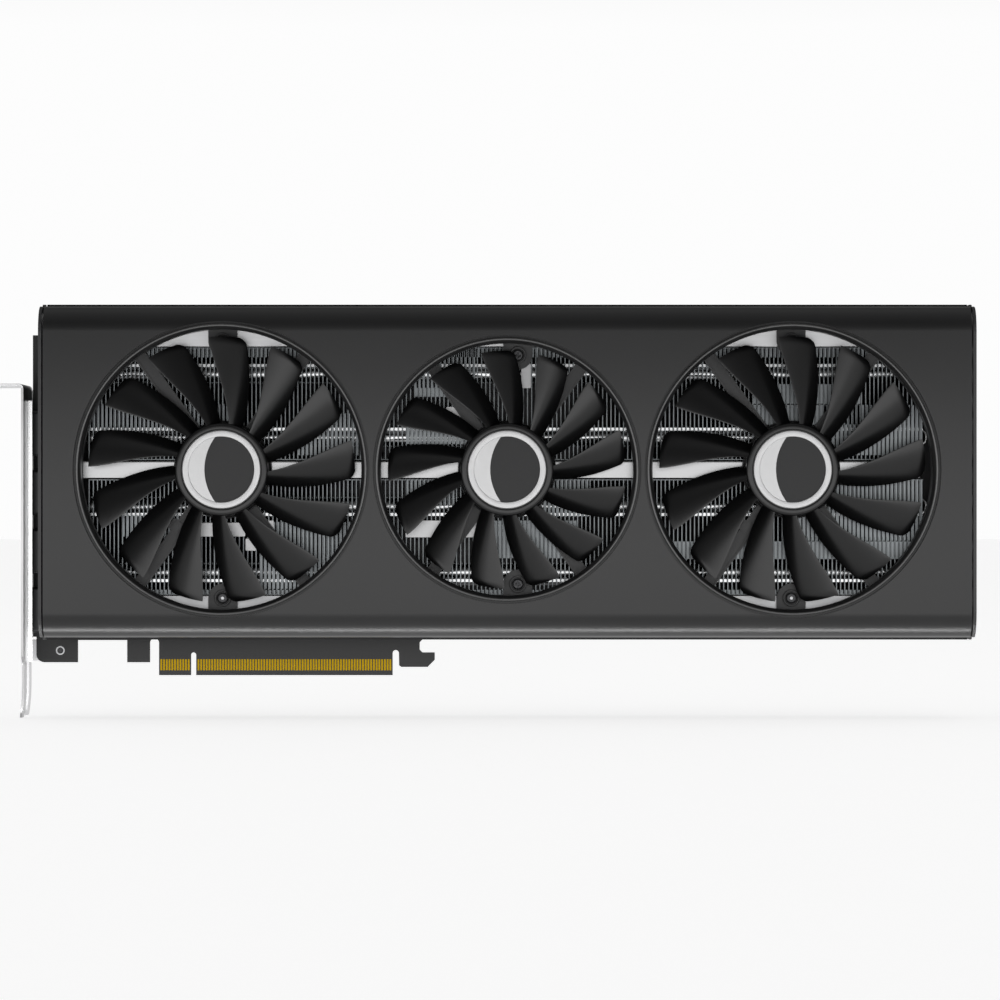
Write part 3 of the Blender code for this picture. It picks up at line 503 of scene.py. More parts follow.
def hub_cap(side):
    """Dark disc, raised light rim and a light crescent: a plain ornament."""
    bm = bmesh.new()
    disc = [(0.0, CAP_FACE), (DISC_RADIUS, CAP_FACE), (DISC_RADIUS, CAP_BASE), (0.0, CAP_BASE)]
    lathe(bm, disc, 96, closed=False)
    rim_back = DISC_RADIUS + 0.1
    rim = [(RIM_INNER, CAP_FACE), (RIM_INNER, HUB_FRONT + 0.15)]
    rim += arc((RIM_INNER + 0.25, HUB_FRONT + 0.1), 0.25, 180.0, 90.0, 3)
    rim += arc((CAP_RADIUS - 0.3, HUB_FRONT + 0.05), 0.3, 90.0, 0.0, 4)
    rim += [(CAP_RADIUS, CAP_BASE + 0.05), (rim_back, CAP_BASE + 0.05), (rim_back, CAP_FACE)]
    lathe(bm, rim, 96, finish=1)
    outer = arc((0.0, 0.0), CRESCENT_RADIUS, CRESCENT_TOP, 360.0 - CRESCENT_TOP, 48)
    dx, dy = outer[-1][0] - CRESCENT_CENTRE, outer[-1][1]
    dip = degrees(atan2(-dy, -dx))
    inner = arc((CRESCENT_CENTRE, 0.0), hypot(dx, dy), 180.0 + dip, 180.0 - dip, 48)[1:-1]
    prism(bm, outer + inner, CAP_FACE - 0.05, CRESCENT_FRONT, finish=1)
    piece("cap_" + side, bm, [HUB_DARK, HUB_LIGHT], ["hub_cap_" + side], hub_frame(side),
          30.0, "fan_" + side)


def frame_window(side, start, stop):
    """One window between two struts, with a screw ear in the top and bottom ones."""
    inner, outer = HUB_RADIUS + 1.0, OPENING[side] + 0.3
    half = STRUT_WIDTH / 2
    inner_trim = degrees(asin(half / inner))
    outer_trim = degrees(asin(half / outer))
    middle = (start + stop) / 2
    points = arc((0, 0), inner, stop - inner_trim, start + inner_trim, 20)
    if abs(cos(radians(middle))) > 0.1:
        return points + arc((0, 0), outer, start + outer_trim, stop - outer_trim, 40)
    direction = 1.0 if sin(radians(middle)) > 0 else -1.0
    centre = (EAR_SHIFT[side], direction * (OPENING[side] - EAR_INSET))
    edges = [centre[0] + direction * EAR_HALF_WIDTH, centre[0] - direction * EAR_HALF_WIDTH]
    near_angle, far_angle = [middle - direction * degrees(asin(edge / outer)) for edge in edges]
    ear_start = 0.0 if direction > 0 else 180.0
    points += arc((0, 0), outer, start + outer_trim, near_angle, 16)
    points += arc(centre, EAR_HALF_WIDTH, ear_start, ear_start - 180.0, 20)
    points += arc((0, 0), outer, far_angle, stop - outer_trim, 16)
    return points


def turned_block(bm, low, high, angle):
    """A box turned about the fan's axis by so many degrees."""
    first = len(bm.verts)
    block(bm, low, high)
    bm.verts.ensure_lookup_table()
    bmesh.ops.rotate(bm, verts=bm.verts[first:], cent=(0, 0, 0),
                     matrix=Matrix.Rotation(radians(angle), 3, "Z"))


def fan_frame(side):
    """Motor plate, ribbed struts, ring, ears with bosses and the clip for the leads."""
    bm = bmesh.new()
    outlines = [circle((0, 0), OPENING[side] + RING_WIDTH, 120), circle((0, 0), FRAME_HOLE, 24)]
    for i in range(4):
        stop = STRUT_ANGLES[(i + 1) % 4] + (360.0 if i == 3 else 0.0)
        outlines.append(frame_window(side, STRUT_ANGLES[i], stop))
    ear_v = OPENING[side] - EAR_INSET
    for direction in (1.0, -1.0):
        outlines.append(circle((EAR_SHIFT[side], direction * ear_v), EAR_HOLE, 20))
    plate(bm, outlines, FRAME_BACK, FRAME_FRONT - 0.2)
    base = piece("frame_" + side, bm, FRAME_PLASTIC, ["fan_frame_" + side], hub_frame(side))
    soften(base, 0.25)
    bm = bmesh.new()
    reach = OPENING[side] + 0.2
    for angle in STRUT_ANGLES:
        for offset in (RIB_HALF - STRUT_WIDTH / 2, STRUT_WIDTH / 2 - RIB_HALF):
            turned_block(bm, (RIB_START, offset - RIB_HALF, FRAME_BACK),
                         (reach, offset + RIB_HALF, FRAME_FRONT + 0.25), angle)
    sunk, shoulder = FRAME_FRONT - 0.2, FRAME_FRONT + 0.7
    lathe(bm, [(16.9, sunk), (16.9, shoulder), (17.2, shoulder + 0.2), (17.5, shoulder), (17.5, sunk)], 96)
    sunk, shoulder = FRAME_FRONT - 0.4, FRAME_FRONT + 0.9
    boss = [(2.35, sunk), (2.35, shoulder), (2.5, shoulder + 0.15), (2.85, shoulder + 0.15)]
    boss += [(3.0, shoulder), (3.0, sunk)]
    for direction in (1.0, -1.0):
        lathe(bm, boss, 40, (EAR_SHIFT[side], direction * ear_v))
    lathe(bm, [(TUBE_BORE, TUBE_FRONT), (TUBE_RADIUS - 0.2, TUBE_FRONT), (TUBE_RADIUS, TUBE_FRONT - 0.2),
               (TUBE_RADIUS, sunk), (TUBE_BORE, sunk)], 32)
    if side != "middle":
        turned_block(bm, (CLIP_START, -3.9, FRAME_BACK), (CLIP_START + 4.0, 0.1, FRAME_FRONT + 0.7),
                     STRUT_ANGLES[2])
        turned_block(bm, (CLIP_START + 1.1, -2.8, FRAME_FRONT), (CLIP_START + 2.9, -1.0, FRAME_FRONT + 1.2),
                     STRUT_ANGLES[2])
    piece("frame_ribs_" + side, bm, FRAME_PLASTIC, turn=hub_frame(side))


def fan_screw(side, label, direction):
    """A dark head in its boss, with a bright pin on the outer fans and a cross on the middle one."""
    bm = bmesh.new()
    centre = (EAR_SHIFT[side], direction * (OPENING[side] - EAR_INSET))
    head = FRAME_FRONT + 0.3
    profile = [(0.0, head + 0.9), (1.35, head + 0.9)] + arc((1.35, head + 0.25), 0.65, 90.0, 0.0, 6)
    profile += [(2.0, head), (1.0, head), (1.0, FRAME_BACK + 0.2), (0.0, FRAME_BACK + 0.2)]
    lathe(bm, profile, 40, centre, closed=False)
    if side != "middle":
        pin = [(0.0, head + 1.2), (0.6, head + 1.2), (0.8, head + 1.0)]
        pin += [(0.8, head + 0.5), (0.0, head + 0.5)]
        lathe(bm, pin, 24, centre, closed=False, finish=1)
    made = piece("screw_%s_%s" % (side, label), bm, [BLACK_STEEL, RAIL_METAL],
                 ["fan_screw_%s_%s" % (side, label)], hub_frame(side), 40.0)
    if side == "middle":
        cut_cross(made, AXES[side][0] + centre[0], AXES[side][1] + centre[1], (0.95, 0.17),
                  head + 0.4, head + 2)
    soften(made, 0.05, 1)


def fan(side):
    rotor(side)
    hub_cap(side)
    fan_frame(side)
    for label, direction in (("top", 1.0), ("bottom", -1.0)):
        fan_screw(side, label, direction)


# -------- shroud

SHROUD_ROLL = 9.0
SHROUD_WALL = 2.0
SHROUD_BACK_EDGE = 19.0
SKIRT = 1.1  # step outwards along the cover's long edges
SKIRT_W = 26.0
BEZEL_WIDTH = 2.9  # from the opening to the outside of the groove
LIP_CREST = 1.55  # from the opening to the lip's crest
LIP_HALF = 0.5
GROOVE_DEPTH = 2.2
DUCT_BACK = 34.2


def shroud_section(inset):
    """The cover's section as (v, w) points, from the bottom skirt to the top one."""
    radius = SHROUD_ROLL - inset
    low, high = SHROUD_LOW[1] + SKIRT + inset, SHROUD_HIGH[1] - SKIRT - inset
    front = FRONT - inset
    edge = SKIRT_W - inset * tan(radians(22.5))
    bottom = [(low - SKIRT, SHROUD_BACK_EDGE), (low - SKIRT, edge - SKIRT), (low, edge)]
    top = [(high, edge), (high + SKIRT, edge - SKIRT), (high + SKIRT, SHROUD_BACK_EDGE)]
    return (bottom + arc((low + radius, front - radius), radius, 180.0, 90.0, 24)
            + arc((high - radius, front - radius), radius, 90.0, 0.0, 24) + top)


def shroud():
    """The cover's sheet with its three openings, and a bezel and duct in each."""
    bm = bmesh.new()
    section = shroud_section(0.0) + shroud_section(SHROUD_WALL)[::-1]
    ends = [[bm.verts.new((u, v, w)) for v, w in section] for u in (SHROUD_LOW[0], SHROUD_HIGH[0])]
    for i in range(len(section)):
        k = (i + 1) % len(section)
        bm.faces.new((ends[0][i], ends[0][k], ends[1][k], ends[1][i]))
    half = len(section) // 2
    for row in ends:
        for i in range(half - 1):
            bm.faces.new((row[i], row[i + 1], row[-2 - i], row[-1 - i]))
    cover = piece("shroud_cover", bm, [COVER, COVER_PAINTED_SHADE], ["shroud"])
    # The skirt's faces take painted shade, a darker and duller copy of the cover plastic
    second_finish(cover, lambda face: -face.center.y / MM < SKIRT_W)
    holes = bmesh.new()
    for side in SIDES:
        radius = OPENING[side] + BEZEL_WIDTH
        lathe(holes, [(0.0, FRONT + 5), (radius, FRONT + 5), (radius, FRONT - 6), (0.0, FRONT - 6)], 160,
              AXES[side], closed=False)
    cut(cover, holes)
    smooth(cover.data, 25)
    soften(cover, 0.35, 3, 50.0, COVER_WEAR_AND_HIGHLIGHT)
    for side in SIDES:
        bezel(side)


def bezel(side):
    """Dark groove, narrow lip with a painted highlight in a paler finish, and duct of one fan opening."""
    radius = OPENING[side]
    bm = bmesh.new()
    crest = radius + LIP_CREST
    outside = radius + BEZEL_WIDTH + 0.3
    profile = [(outside, FRONT - GROOVE_DEPTH), (crest + LIP_HALF, FRONT - GROOVE_DEPTH)]
    profile += arc((crest, FRONT - 0.1 - LIP_HALF), LIP_HALF, 0.0, 150.0, 10)
    profile += [(radius + 0.35, FRONT - 1.7), (radius + 0.1, FRONT - 2.4), (radius, FRONT - 3.4)]
    profile += [(radius + 0.5, DUCT_BACK), (radius + 2.2, DUCT_BACK), (radius + 2.2, FRONT - 2.6)]
    profile += [(outside, FRONT - 2.6)]
    lathe(bm, profile, 200, AXES[side])
    made = piece("shroud_bezel_" + side, bm, [COVER, COVER_WEAR_AND_HIGHLIGHT])
    # The lip's crest takes the paler finish as a painted highlight
    second_finish(made, lambda face: -face.center.y / MM > FRONT - 0.75)


# -------- cooler

FIN_PITCH = 1.5
FIN_SHEET = 0.36
FIN_FRONT = 30.8
FIN_BACK = 13.0
FIN_LEFT, FIN_RIGHT = -72.8, 227.2
UPPER_FINS = (78.3, 118.7)
LOWER_FINS = (29.9, 71.3)
PIPE_RISE = 24.5  # depth w of the pipes' centres
PIPE_HIGHLIGHT_LIP = 2.9  # from a pipe's centre to the lip beside it, a strip in the pipe's plating that paints a highlight line
PIPE_END = 2.6  # length of the drawn end
PIPE_END_BOW = 0.8
BAR_SHORTFALL = 1.2  # the bar ends this far before the last fin
# Folded front edges: from u, to u, from v, to v, and how wide the fold is
FLANGES = ((-80, 230, 115.2, 118.7, 1.0), (-80, -20, 89.0, 98.3, 0.8), (2, 24, 80.0, 95.0, 0.9),
           (-62, -34, 50.8, 58.6, 0.9), (-12, 24, 32.0, 56.0, 0.95), (40, 72, 84.0, 90.4, 1.25),
           (44, 57, 101.0, 104.2, 1.3), (44, 66, 104.2, 118.7, 0.8), (40, 58, 62.0, 71.3, 0.9),
           (72, 102, 43.0, 56.5, 1.3), (88, 106, 58.0, 71.3, 0.95), (165, 204, 98.5, 105.5, 1.3),
           (165, 204, 91.0, 98.1, 1.3), (190, 230, 80.0, 98.0, 1.05), (175, 230, 49.3, 71.3, 1.05),
           (128, 230, 42.7, 49.0, 1.32), (-80, 230, 29.9, 31.6, 1.1))
# Bright strips across the fins: from u, to u, from v, to v
BRIDGES = ((-36.0, -16.5, 50.7, 55.8), (-16.5, -12.6, 45.6, 50.1), (-10.4, -6.2, 52.6, 56.6),
           (41.0, 68.0, 50.4, 56.6), (55.6, 62.6, 92.0, 97.4), (82.6, 86.2, 104.0, 113.0))


def fins(name, span, pipes):
    """Upright sheets, their folded front edges, and a collar behind each pipe."""
    bm = bmesh.new()
    count = int(round((FIN_RIGHT - FIN_LEFT) / FIN_PITCH))
    for i in range(count):
        u = FIN_LEFT + i * FIN_PITCH
        block(bm, (u, span[0], FIN_BACK), (u + FIN_SHEET, span[1], FIN_FRONT))
        for first, last, low, high, width in FLANGES:
            low, high = max(low, span[0]), min(high, span[1])
            if first <= u <= last and low < high:
                block(bm, (u + FIN_SHEET / 2, low, FIN_FRONT - 0.3), (u + width, high, FIN_FRONT))
        for edge in (span[0], span[1] - 0.3):
            block(bm, (u, edge, FIN_BACK), (u + FIN_PITCH - 0.1, edge + 0.3, FIN_FRONT - 0.3))
        for v in pipes:
            block(bm, (u, v - 3.4, PIPE_RISE - 3.2), (u + 0.9, v + 3.4, PIPE_RISE - 1.0))
            lip = v + PIPE_HIGHLIGHT_LIP if v > UPPER_FINS[0] else v - PIPE_HIGHLIGHT_LIP
            # A painted highlight line: a fin collar strip in the pipe's bright plating beside each pipe
            block(bm, (u, lip - 0.5, PIPE_RISE), (u + FIN_PITCH - 0.06, lip + 0.5, PIPE_RISE + 3.4), 2)
    made = piece(name, bm, [FIN_METAL, FIN_FLANK_PAINTED_SHADE, PIPE_METAL],
                 [name.replace("fins", "fin_stack")])
    # The sheets' sides take painted shade, a darker copy of the fin aluminium
    second_finish(made, lambda face: abs(face.normal.x) > 0.5)


def bridges():
    """Flat bright strips that tie the fins together over the processor and beside it."""
    for number, (first, last, low, high) in enumerate(BRIDGES):
        bm = bmesh.new()
        prism(bm, rounded((first, low), (last, high), 0.4, 3), FIN_FRONT - 0.25, FIN_FRONT + 0.18)
        soften(piece("fin_bridge_%d" % (number + 1), bm, BRIDGE_METAL), 0.1)


def pipe(number):
    """A plated tube with a drawn, rounded end each side."""
    low, high = card_box("heat_pipe_%d" % number)
    v = (low[1] + high[1]) / 2
    w = (low[2] + high[2]) / 2
    radius = (high[1] - low[1]) / 2
    length = high[0] - low[0]
    profile = [(0.0, 0.0)]
    for step in (15, 30, 45, 60, 75, 90):
        angle = radians(step)
        profile.append((radius * sin(angle) ** PIPE_END_BOW, PIPE_END * (1 - cos(angle))))
    profile += [(r, length - x) for r, x in profile[::-1]]
    bm = bmesh.new()
    lathe(bm, profile, 32, closed=False)
    turn = Matrix.Translation((low[0], v, w)) @ Matrix.Rotation(pi / 2, 4, "Y")
    piece("pipe_%d" % number, bm, PIPE_METAL, ["heat_pipe_%d" % number], turn, 40.0)
    return v


def centre_bar():
    """Polished bar between the fin stacks, with a folded edge along its top."""
    low, high = card_box("centre_bar")
    bm = bmesh.new()
    last = FIN_RIGHT - BAR_SHORTFALL
    prism(bm, rounded((low[0], low[1]), (last, high[1]), 0.5, 4), low[2], high[2] - 0.1)
    block(bm, (low[0] + 0.3, high[1] - 0.55, high[2] - 0.6), (last - 0.3, high[1] - 0.1, high[2]))
    soften(piece("bar", bm, BAR_METAL, ["centre_bar"]), 0.2)


def cooler():
    heights = [pipe(number) for number in (1, 2, 3, 4)]
    fins("fins_upper", UPPER_FINS, [v for v in heights if v > UPPER_FINS[0]])
    fins("fins_lower", LOWER_FINS, [v for v in heights if v < LOWER_FINS[1]])
    bridges()
    centre_bar()


# -------- board

BOARD_HALF = 0.785
BOARD_FOOT_U = -94.1  # left edge of the foot beside the bracket
BOARD_FOOT_V = 4.7
BOARD_SIDE_V = 14.0  # where the left edge steps out above the foot
BOARD_CORNER = 3.0
BOARD_EDGE_V = 16.0  # lower edge past the connector
STEP_U = (-79.0, -61.0)  # the step cut between the bracket and the connector
STEP_V = 12.8
POST_RIGHT = -52.7  # right edge of the post before the connector
POST_RELIEF_V = 11.8
HOOK_RELIEF = 1.15
HOOK_RELIEF_V = 8.0
HOOK = ((38.2, 3.6), (39.0, 3.0), (48.6, 3.0), (51.2, 5.6), (51.2, 8.3), (46.7, 8.3), (45.7, 9.3),
        (45.7, 12.0), (46.7, 13.0), (51.2, 13.0), (53.0, BOARD_EDGE_V))
FIELD_LONG = 71.65  # the connector's two fields and the notch between
FIELD_SHORT = 11.65
KEY_NOTCH = 1.9
KEY_TOP = 8.3
FINGERS_LONG = 71  # gold fingers in each field
FINGERS_SHORT = 11
FINGER_PITCH = 1.0
FINGER_WIDTH = 0.7
FINGER_MARGIN = 0.3
BOARD_HOLES = ((-85.4, 9.0), (-85.4, 100.2))  # plated, for the bracket's screws
BOARD_HOLE = 1.1
PLATING = (1.12, 1.6, 0.05)  # a ring's inner and outer radius, and its height
FOOT_SPANS = ((5.3, 13.0), (96.5, 104.0))  # lower and upper v of each bracket foot


def board_outline(left, right, top):
    """The board's edge, as the CAD's, with finer arcs."""
    long_right = FIELD_LONG / 2
    long_left = -long_right
    short_right = long_left - KEY_NOTCH
    short_left = short_right - FIELD_SHORT
    corner = (BOARD_FOOT_U + BOARD_CORNER, BOARD_FOOT_V + BOARD_CORNER)
    points = [(left, top), (left, BOARD_SIDE_V), (BOARD_FOOT_U, BOARD_SIDE_V)]
    points += arc(corner, BOARD_CORNER, 180.0, 270.0, 12)
    points += [(STEP_U[0], BOARD_FOOT_V), (STEP_U[0], STEP_V), (STEP_U[1], STEP_V)]
    points += [(STEP_U[1], BOARD_FOOT_V), (POST_RIGHT, BOARD_FOOT_V)]
    relief = (short_left - POST_RIGHT) / 2
    points += arc((POST_RIGHT + relief, POST_RELIEF_V), relief, 180.0, 0.0, 16)
    points += [(short_left, 0.0), (short_right, 0.0)]
    points += arc((short_right + KEY_NOTCH / 2, KEY_TOP - KEY_NOTCH / 2), KEY_NOTCH / 2, 180.0, 0.0, 12)
    points += [(long_left, 0.0), (long_right, 0.0)]
    points += arc((long_right + HOOK_RELIEF, HOOK_RELIEF_V), HOOK_RELIEF, 180.0, 0.0, 12)
    points += list(HOOK)
    points += [(right - 2.0, BOARD_EDGE_V), (right, BOARD_EDGE_V + 2.0)]
    return points + [(right, top - 1.0), (right - 1.0, top)]


def board():
    """Fibreglass core with solder mask, its plated holes and gold fingers."""
    low, high = card_box("circuit_board")
    bm = bmesh.new()
    holes = [circle(spot, BOARD_HOLE, 32) for spot in BOARD_HOLES]
    plate(bm, [board_outline(low[0], high[0], high[1])] + holes, -BOARD_HALF, BOARD_HALF)
    made = piece("board", bm, [SOLDER_MASK, BOARD_EDGE], ["circuit_board"])
    second_finish(made, lambda face: abs(face.normal.y) < 0.5)
    ring = bmesh.new()
    inside, outside, height = PLATING
    for side in (-1.0, 1.0):
        face, top = side * BOARD_HALF, side * (BOARD_HALF + height)
        for spot in BOARD_HOLES:
            lathe(ring, [(inside, face), (inside, top), (outside, top), (outside, face)], 40, spot)
    piece("board_hole_plating", ring, RAIL_METAL)
    gold_fingers("short", FINGERS_SHORT, -FIELD_LONG / 2 - KEY_NOTCH - FIELD_SHORT)
    gold_fingers("long", FINGERS_LONG, -FIELD_LONG / 2)


def gold_fingers(field, count, start):
    """One field of gold fingers, on the board's front and its back."""
    low, high = card_box("contacts_%s_front" % field)
    spread = (count - 1) * FINGER_PITCH + FINGER_WIDTH
    first = start + (high[0] - low[0] - spread) / 2 + FINGER_MARGIN
    for label, side in (("front", 1.0), ("back", -1.0)):
        strip = bmesh.new()
        near, far = sorted((side * (BOARD_HALF + 0.005), side * (BOARD_HALF + 0.075)))
        for i in range(count):
            u = first + i * FINGER_PITCH
            block(strip, (u, low[1], near), (u + FINGER_WIDTH, high[1], far))
        name = "contacts_%s_%s" % (field, label)
        soften(piece("fingers_%s_%s" % (field, label), strip, GOLD, [name]), 0.03, 1)


# -------- CAD nodes that keep their shape

# Finish, width of the soft edges in millimetres, and the nodes
DRESSED = ((FRAME_PLASTIC, 0.25, "end_plate_left end_plate_right"),
           # the top rail takes a brighter copy of its aluminium: painted light
           (RAIL_PAINTED_LIGHT, 0.2, "cooler_rail_top"),
           (RAIL_METAL, 0.2, "cooler_rail_bottom"),
           (PLATE_METAL, 0.0, "cold_plate"),
           (COPPER, 0.0, "motor_coil_left motor_coil_middle motor_coil_right"),
           (SCREW_STEEL, 0.0, "motor_shaft_left motor_shaft_middle motor_shaft_right"),
           (CHIP, 0.1, "processor_package memory_1 memory_2 memory_3 memory_4"),
           (SILICON, 0.05, "processor_die"),
           (CHIP, 0.4, "choke_1 choke_2"),
           (NYLON, 0.15, "fan_header"))


def dress_nodes():
    for finish, width, names in DRESSED:
        for name in names.split():
            made = frame["nodes"][name]
            made.data.materials.clear()
            made.data.materials.append(finish)
            if width:
                weld = made.modifiers.new("weld", "WELD")
                weld.merge_threshold = 0.00001
                soften(made, width)


# -------- sockets, bracket, backplate

SOCKET_RIM = 0.8  # of a power socket, round its wells
WELL_WALL = 0.35  # half the wall between two wells
WELL_FLOOR = 3.0
PIN_HALF = 0.5
PIN_INSET = 2.5  # from the socket's ends
SHELL_WALL = 0.45  # of a display socket
SHELL_CORNER = 1.2
TONGUE_HALF = 0.6  # half its thickness
DISPLAY_CONTACTS = 10  # on each side of the tongue


def power_socket(label):
    """Eight way housing: a rim, two rows of square wells and a pin in each."""
    node = "power_socket_" + label
    low, high = card_box(node)
    bm = bmesh.new()
    block(bm, low, high)
    made = piece("socket_" + label, bm, SOCKET_BLACK, [node])
    wells, pins = bmesh.new(), bmesh.new()
    pitch = (high[0] - low[0] - 2 * SOCKET_RIM) / 4
    depth = (high[2] - low[2] - 2 * SOCKET_RIM) / 2
    half_u, half_w = pitch / 2 - WELL_WALL, depth / 2 - WELL_WALL
    for column in range(4):
        for row in range(2):
            u = low[0] + SOCKET_RIM + (column + 0.5) * pitch
            w = low[2] + SOCKET_RIM + (row + 0.5) * depth
            block(wells, (u - half_u, low[1] + WELL_FLOOR, w - half_w),
                  (u + half_u, high[1] + 2, w + half_w))
            block(pins, (u - PIN_HALF, low[1] + PIN_INSET, w - PIN_HALF),
                  (u + PIN_HALF, high[1] - PIN_INSET, w + PIN_HALF))
    cut(made, wells)
    soften(made, 0.25)
    soften(piece("socket_pins_" + label, pins, GOLD), 0.15)


def display_socket(number):
    """Rolled metal shell with a tongue and contacts inside."""
    node = "display_socket_%d" % number
    low, high = card_box(node)
    bm = bmesh.new()
    middle = ((low[1] + high[1]) / 2, (low[2] + high[2]) / 2)
    half = ((high[1] - low[1]) / 2, (high[2] - low[2]) / 2)
    outlines = []
    for inset in (0.0, SHELL_WALL):
        corner = (half[0] - inset, half[1] - inset)
        outlines.append(rounded((-corner[0], -corner[1]), corner, SHELL_CORNER - inset))
    plate(bm, outlines, 0.0, high[0] - low[0])
    turn = (Matrix.Translation((low[0], middle[0], middle[1]))
            @ Matrix(((0, 0, 1, 0), (1, 0, 0, 0), (0, 1, 0, 0), (0, 0, 0, 1))))
    soften(piece("display_shell_%d" % number, bm, SHELL_METAL, [node], turn), 0.1, 1)
    bm = bmesh.new()
    block(bm, (low[0] + 7.5, low[1] + 0.5, low[2] + 0.5), (high[0] - 0.4, high[1] - 0.5, high[2] - 0.5))
    block(bm, (low[0] + 1.2, low[1] + 2.4, middle[1] - TONGUE_HALF),
          (low[0] + 8.0, high[1] - 2.4, middle[1] + TONGUE_HALF))
    soften(piece("display_tongue_%d" % number, bm, SOCKET_BLACK), 0.1, 1)
    bm = bmesh.new()
    for i in range(DISPLAY_CONTACTS):
        v = low[1] + 3.2 + i * (high[1] - low[1] - 6.9) / (DISPLAY_CONTACTS - 1)
        for side in (-1, 1):
            face = middle[1] + side * TONGUE_HALF
            near, far = sorted((face, face + side * 0.08))
            block(bm, (low[0] + 1.6, v, near), (low[0] + 7.4, v + 0.5, far))
    piece("display_contacts_%d" % number, bm, GOLD)


BRACKET_U = -96.7
SHEET = 0.86
SHADED_W = 17.7  # the sheet has painted shade, a darker copy of its steel, in front of this depth
FOLD_WIDTH = 1.75  # of the strip folded inwards there
FOLD_TOP = 99.9
SLOT_CENTRES = (6.0, 26.32)
TIP_WIDTH = 10.19
TIP_V = -14.4
TIP_CORNER = 2.2
TIP_STEP = 0.6  # the inner edges of the tips start this much higher
TIP_BEND = 0.9  # inwards, at the tips' ends
TIP_CUTS = (-2.0, -5.0, -7.0, -8.5, -10.0, -11.5, -13.0)  # v of the rows along that bend
SHOULDER = 3.0  # height of the sloped edge beside each tip
FOOT_V = 4.9
FOOT_LENGTH = 15.0
FOOT_GAP = 0.3  # from the board's back
TAB_BEND = 1.6
NOTCH_RADIUS = 2.2
NOTCH_CENTRE = 3.3  # from the tab's end
BRACKET_SCREW = (0.8, 2.0, 1.3)  # shank, head and height
BACK_SCREW = (1.4, 3.0, 1.4)


def bracket_outline(low, high, top):
    """The flat sheet as (w, v) points, with two rounded lower tips."""
    points = [(high, top), (low, top), (low, FOOT_V + SHOULDER)]
    for number, middle in enumerate(SLOT_CENTRES):
        near, far = middle - TIP_WIDTH / 2, middle + TIP_WIDTH / 2
        points += [(near, FOOT_V + TIP_STEP * number)]
        points += arc((near + TIP_CORNER, TIP_V + TIP_CORNER), TIP_CORNER, 180.0, 270.0, 8)
        points += arc((far - TIP_CORNER, TIP_V + TIP_CORNER), TIP_CORNER, 270.0, 360.0, 8)
        points += [(far, FOOT_V + TIP_STEP * (1 - number))]
    return points + [(high, FOOT_V + SHOULDER)]


def slice_sheet(bm, place, normal):
    """Cut bm's faces along a plane, where they bend or change their finish."""
    bmesh.ops.bisect_plane(bm, geom=bm.verts[:] + bm.edges[:] + bm.faces[:], plane_co=place,
                           plane_no=normal, dist=0.0001)


def bracket_sheet(low, high):
    """The flat sheet: socket openings, painted shade in front, tips bent inwards."""
    holes = []
    for number in (1, 2, 3, 4):
        near, far = card_box("display_socket_%d" % number)
        holes.append(rounded((near[2] - 0.3, near[1] - 0.6), (far[2] + 0.3, far[1] + 0.6), 1.4))
    bm = bmesh.new()
    plate(bm, [bracket_outline(low[2], high[2], high[1] - TAB_BEND)] + holes, -SHEET, 0.0)
    for v in TIP_CUTS:
        slice_sheet(bm, (0, v, 0), (0, 1, 0))
    for vert in bm.verts:
        if vert.co.y < TIP_CUTS[0]:
            along = (TIP_CUTS[0] - vert.co.y) / (TIP_CUTS[0] - TIP_V)
            vert.co.z += TIP_BEND * along ** 2
    # Painted shade: the front part takes a darker copy of the steel
    slice_sheet(bm, (SHADED_W, 0, 0), (1, 0, 0))
    for face in bm.faces:
        if face.calc_center_median().x > SHADED_W:
            face.material_index = 1
    turn = Matrix.Translation((BRACKET_U, 0, 0)) @ Matrix.Rotation(-pi / 2, 4, "Y")
    made = piece("bracket_sheet", bm, [STEEL, STEEL_PAINTED_SHADE], ["bracket"], turn, 25.0)
    soften(made, 0.12, 2, 50.0)


def bracket_tab(low, high):
    """The tab bent outwards at the top, with a notch for each case screw."""
    top, end = high[1], low[0]
    inner = BRACKET_U + SHEET
    bend = (inner - TAB_BEND, top - TAB_BEND)
    outline = [(inner, top - TAB_BEND)] + arc(bend, TAB_BEND, 0.0, 90.0, 10)
    outline += [(end, top), (end, top - SHEET)] + arc(bend, TAB_BEND - SHEET, 90.0, 0.0, 10)
    tab = bmesh.new()
    prism(tab, outline, low[2], high[2])
    made = piece("bracket_tab", tab, STEEL)
    notches, rounds = bmesh.new(), bmesh.new()
    for middle in SLOT_CENTRES:
        block(notches, (end - 2, top - 3, middle - NOTCH_RADIUS),
              (end + NOTCH_CENTRE, top + 3, middle + NOTCH_RADIUS))
        verts = bmesh.ops.create_cone(rounds, cap_ends=True, segments=32, radius1=NOTCH_RADIUS,
                                      radius2=NOTCH_RADIUS, depth=6.0)["verts"]
        bmesh.ops.rotate(rounds, verts=verts, cent=(0, 0, 0), matrix=Matrix.Rotation(pi / 2, 3, "X"))
        bmesh.ops.translate(rounds, verts=verts, vec=(end + NOTCH_CENTRE, top, middle))
    cut(made, notches)
    cut(made, rounds)
    smooth(made.data, 25)
    soften(made, 0.12, 2, 50.0)


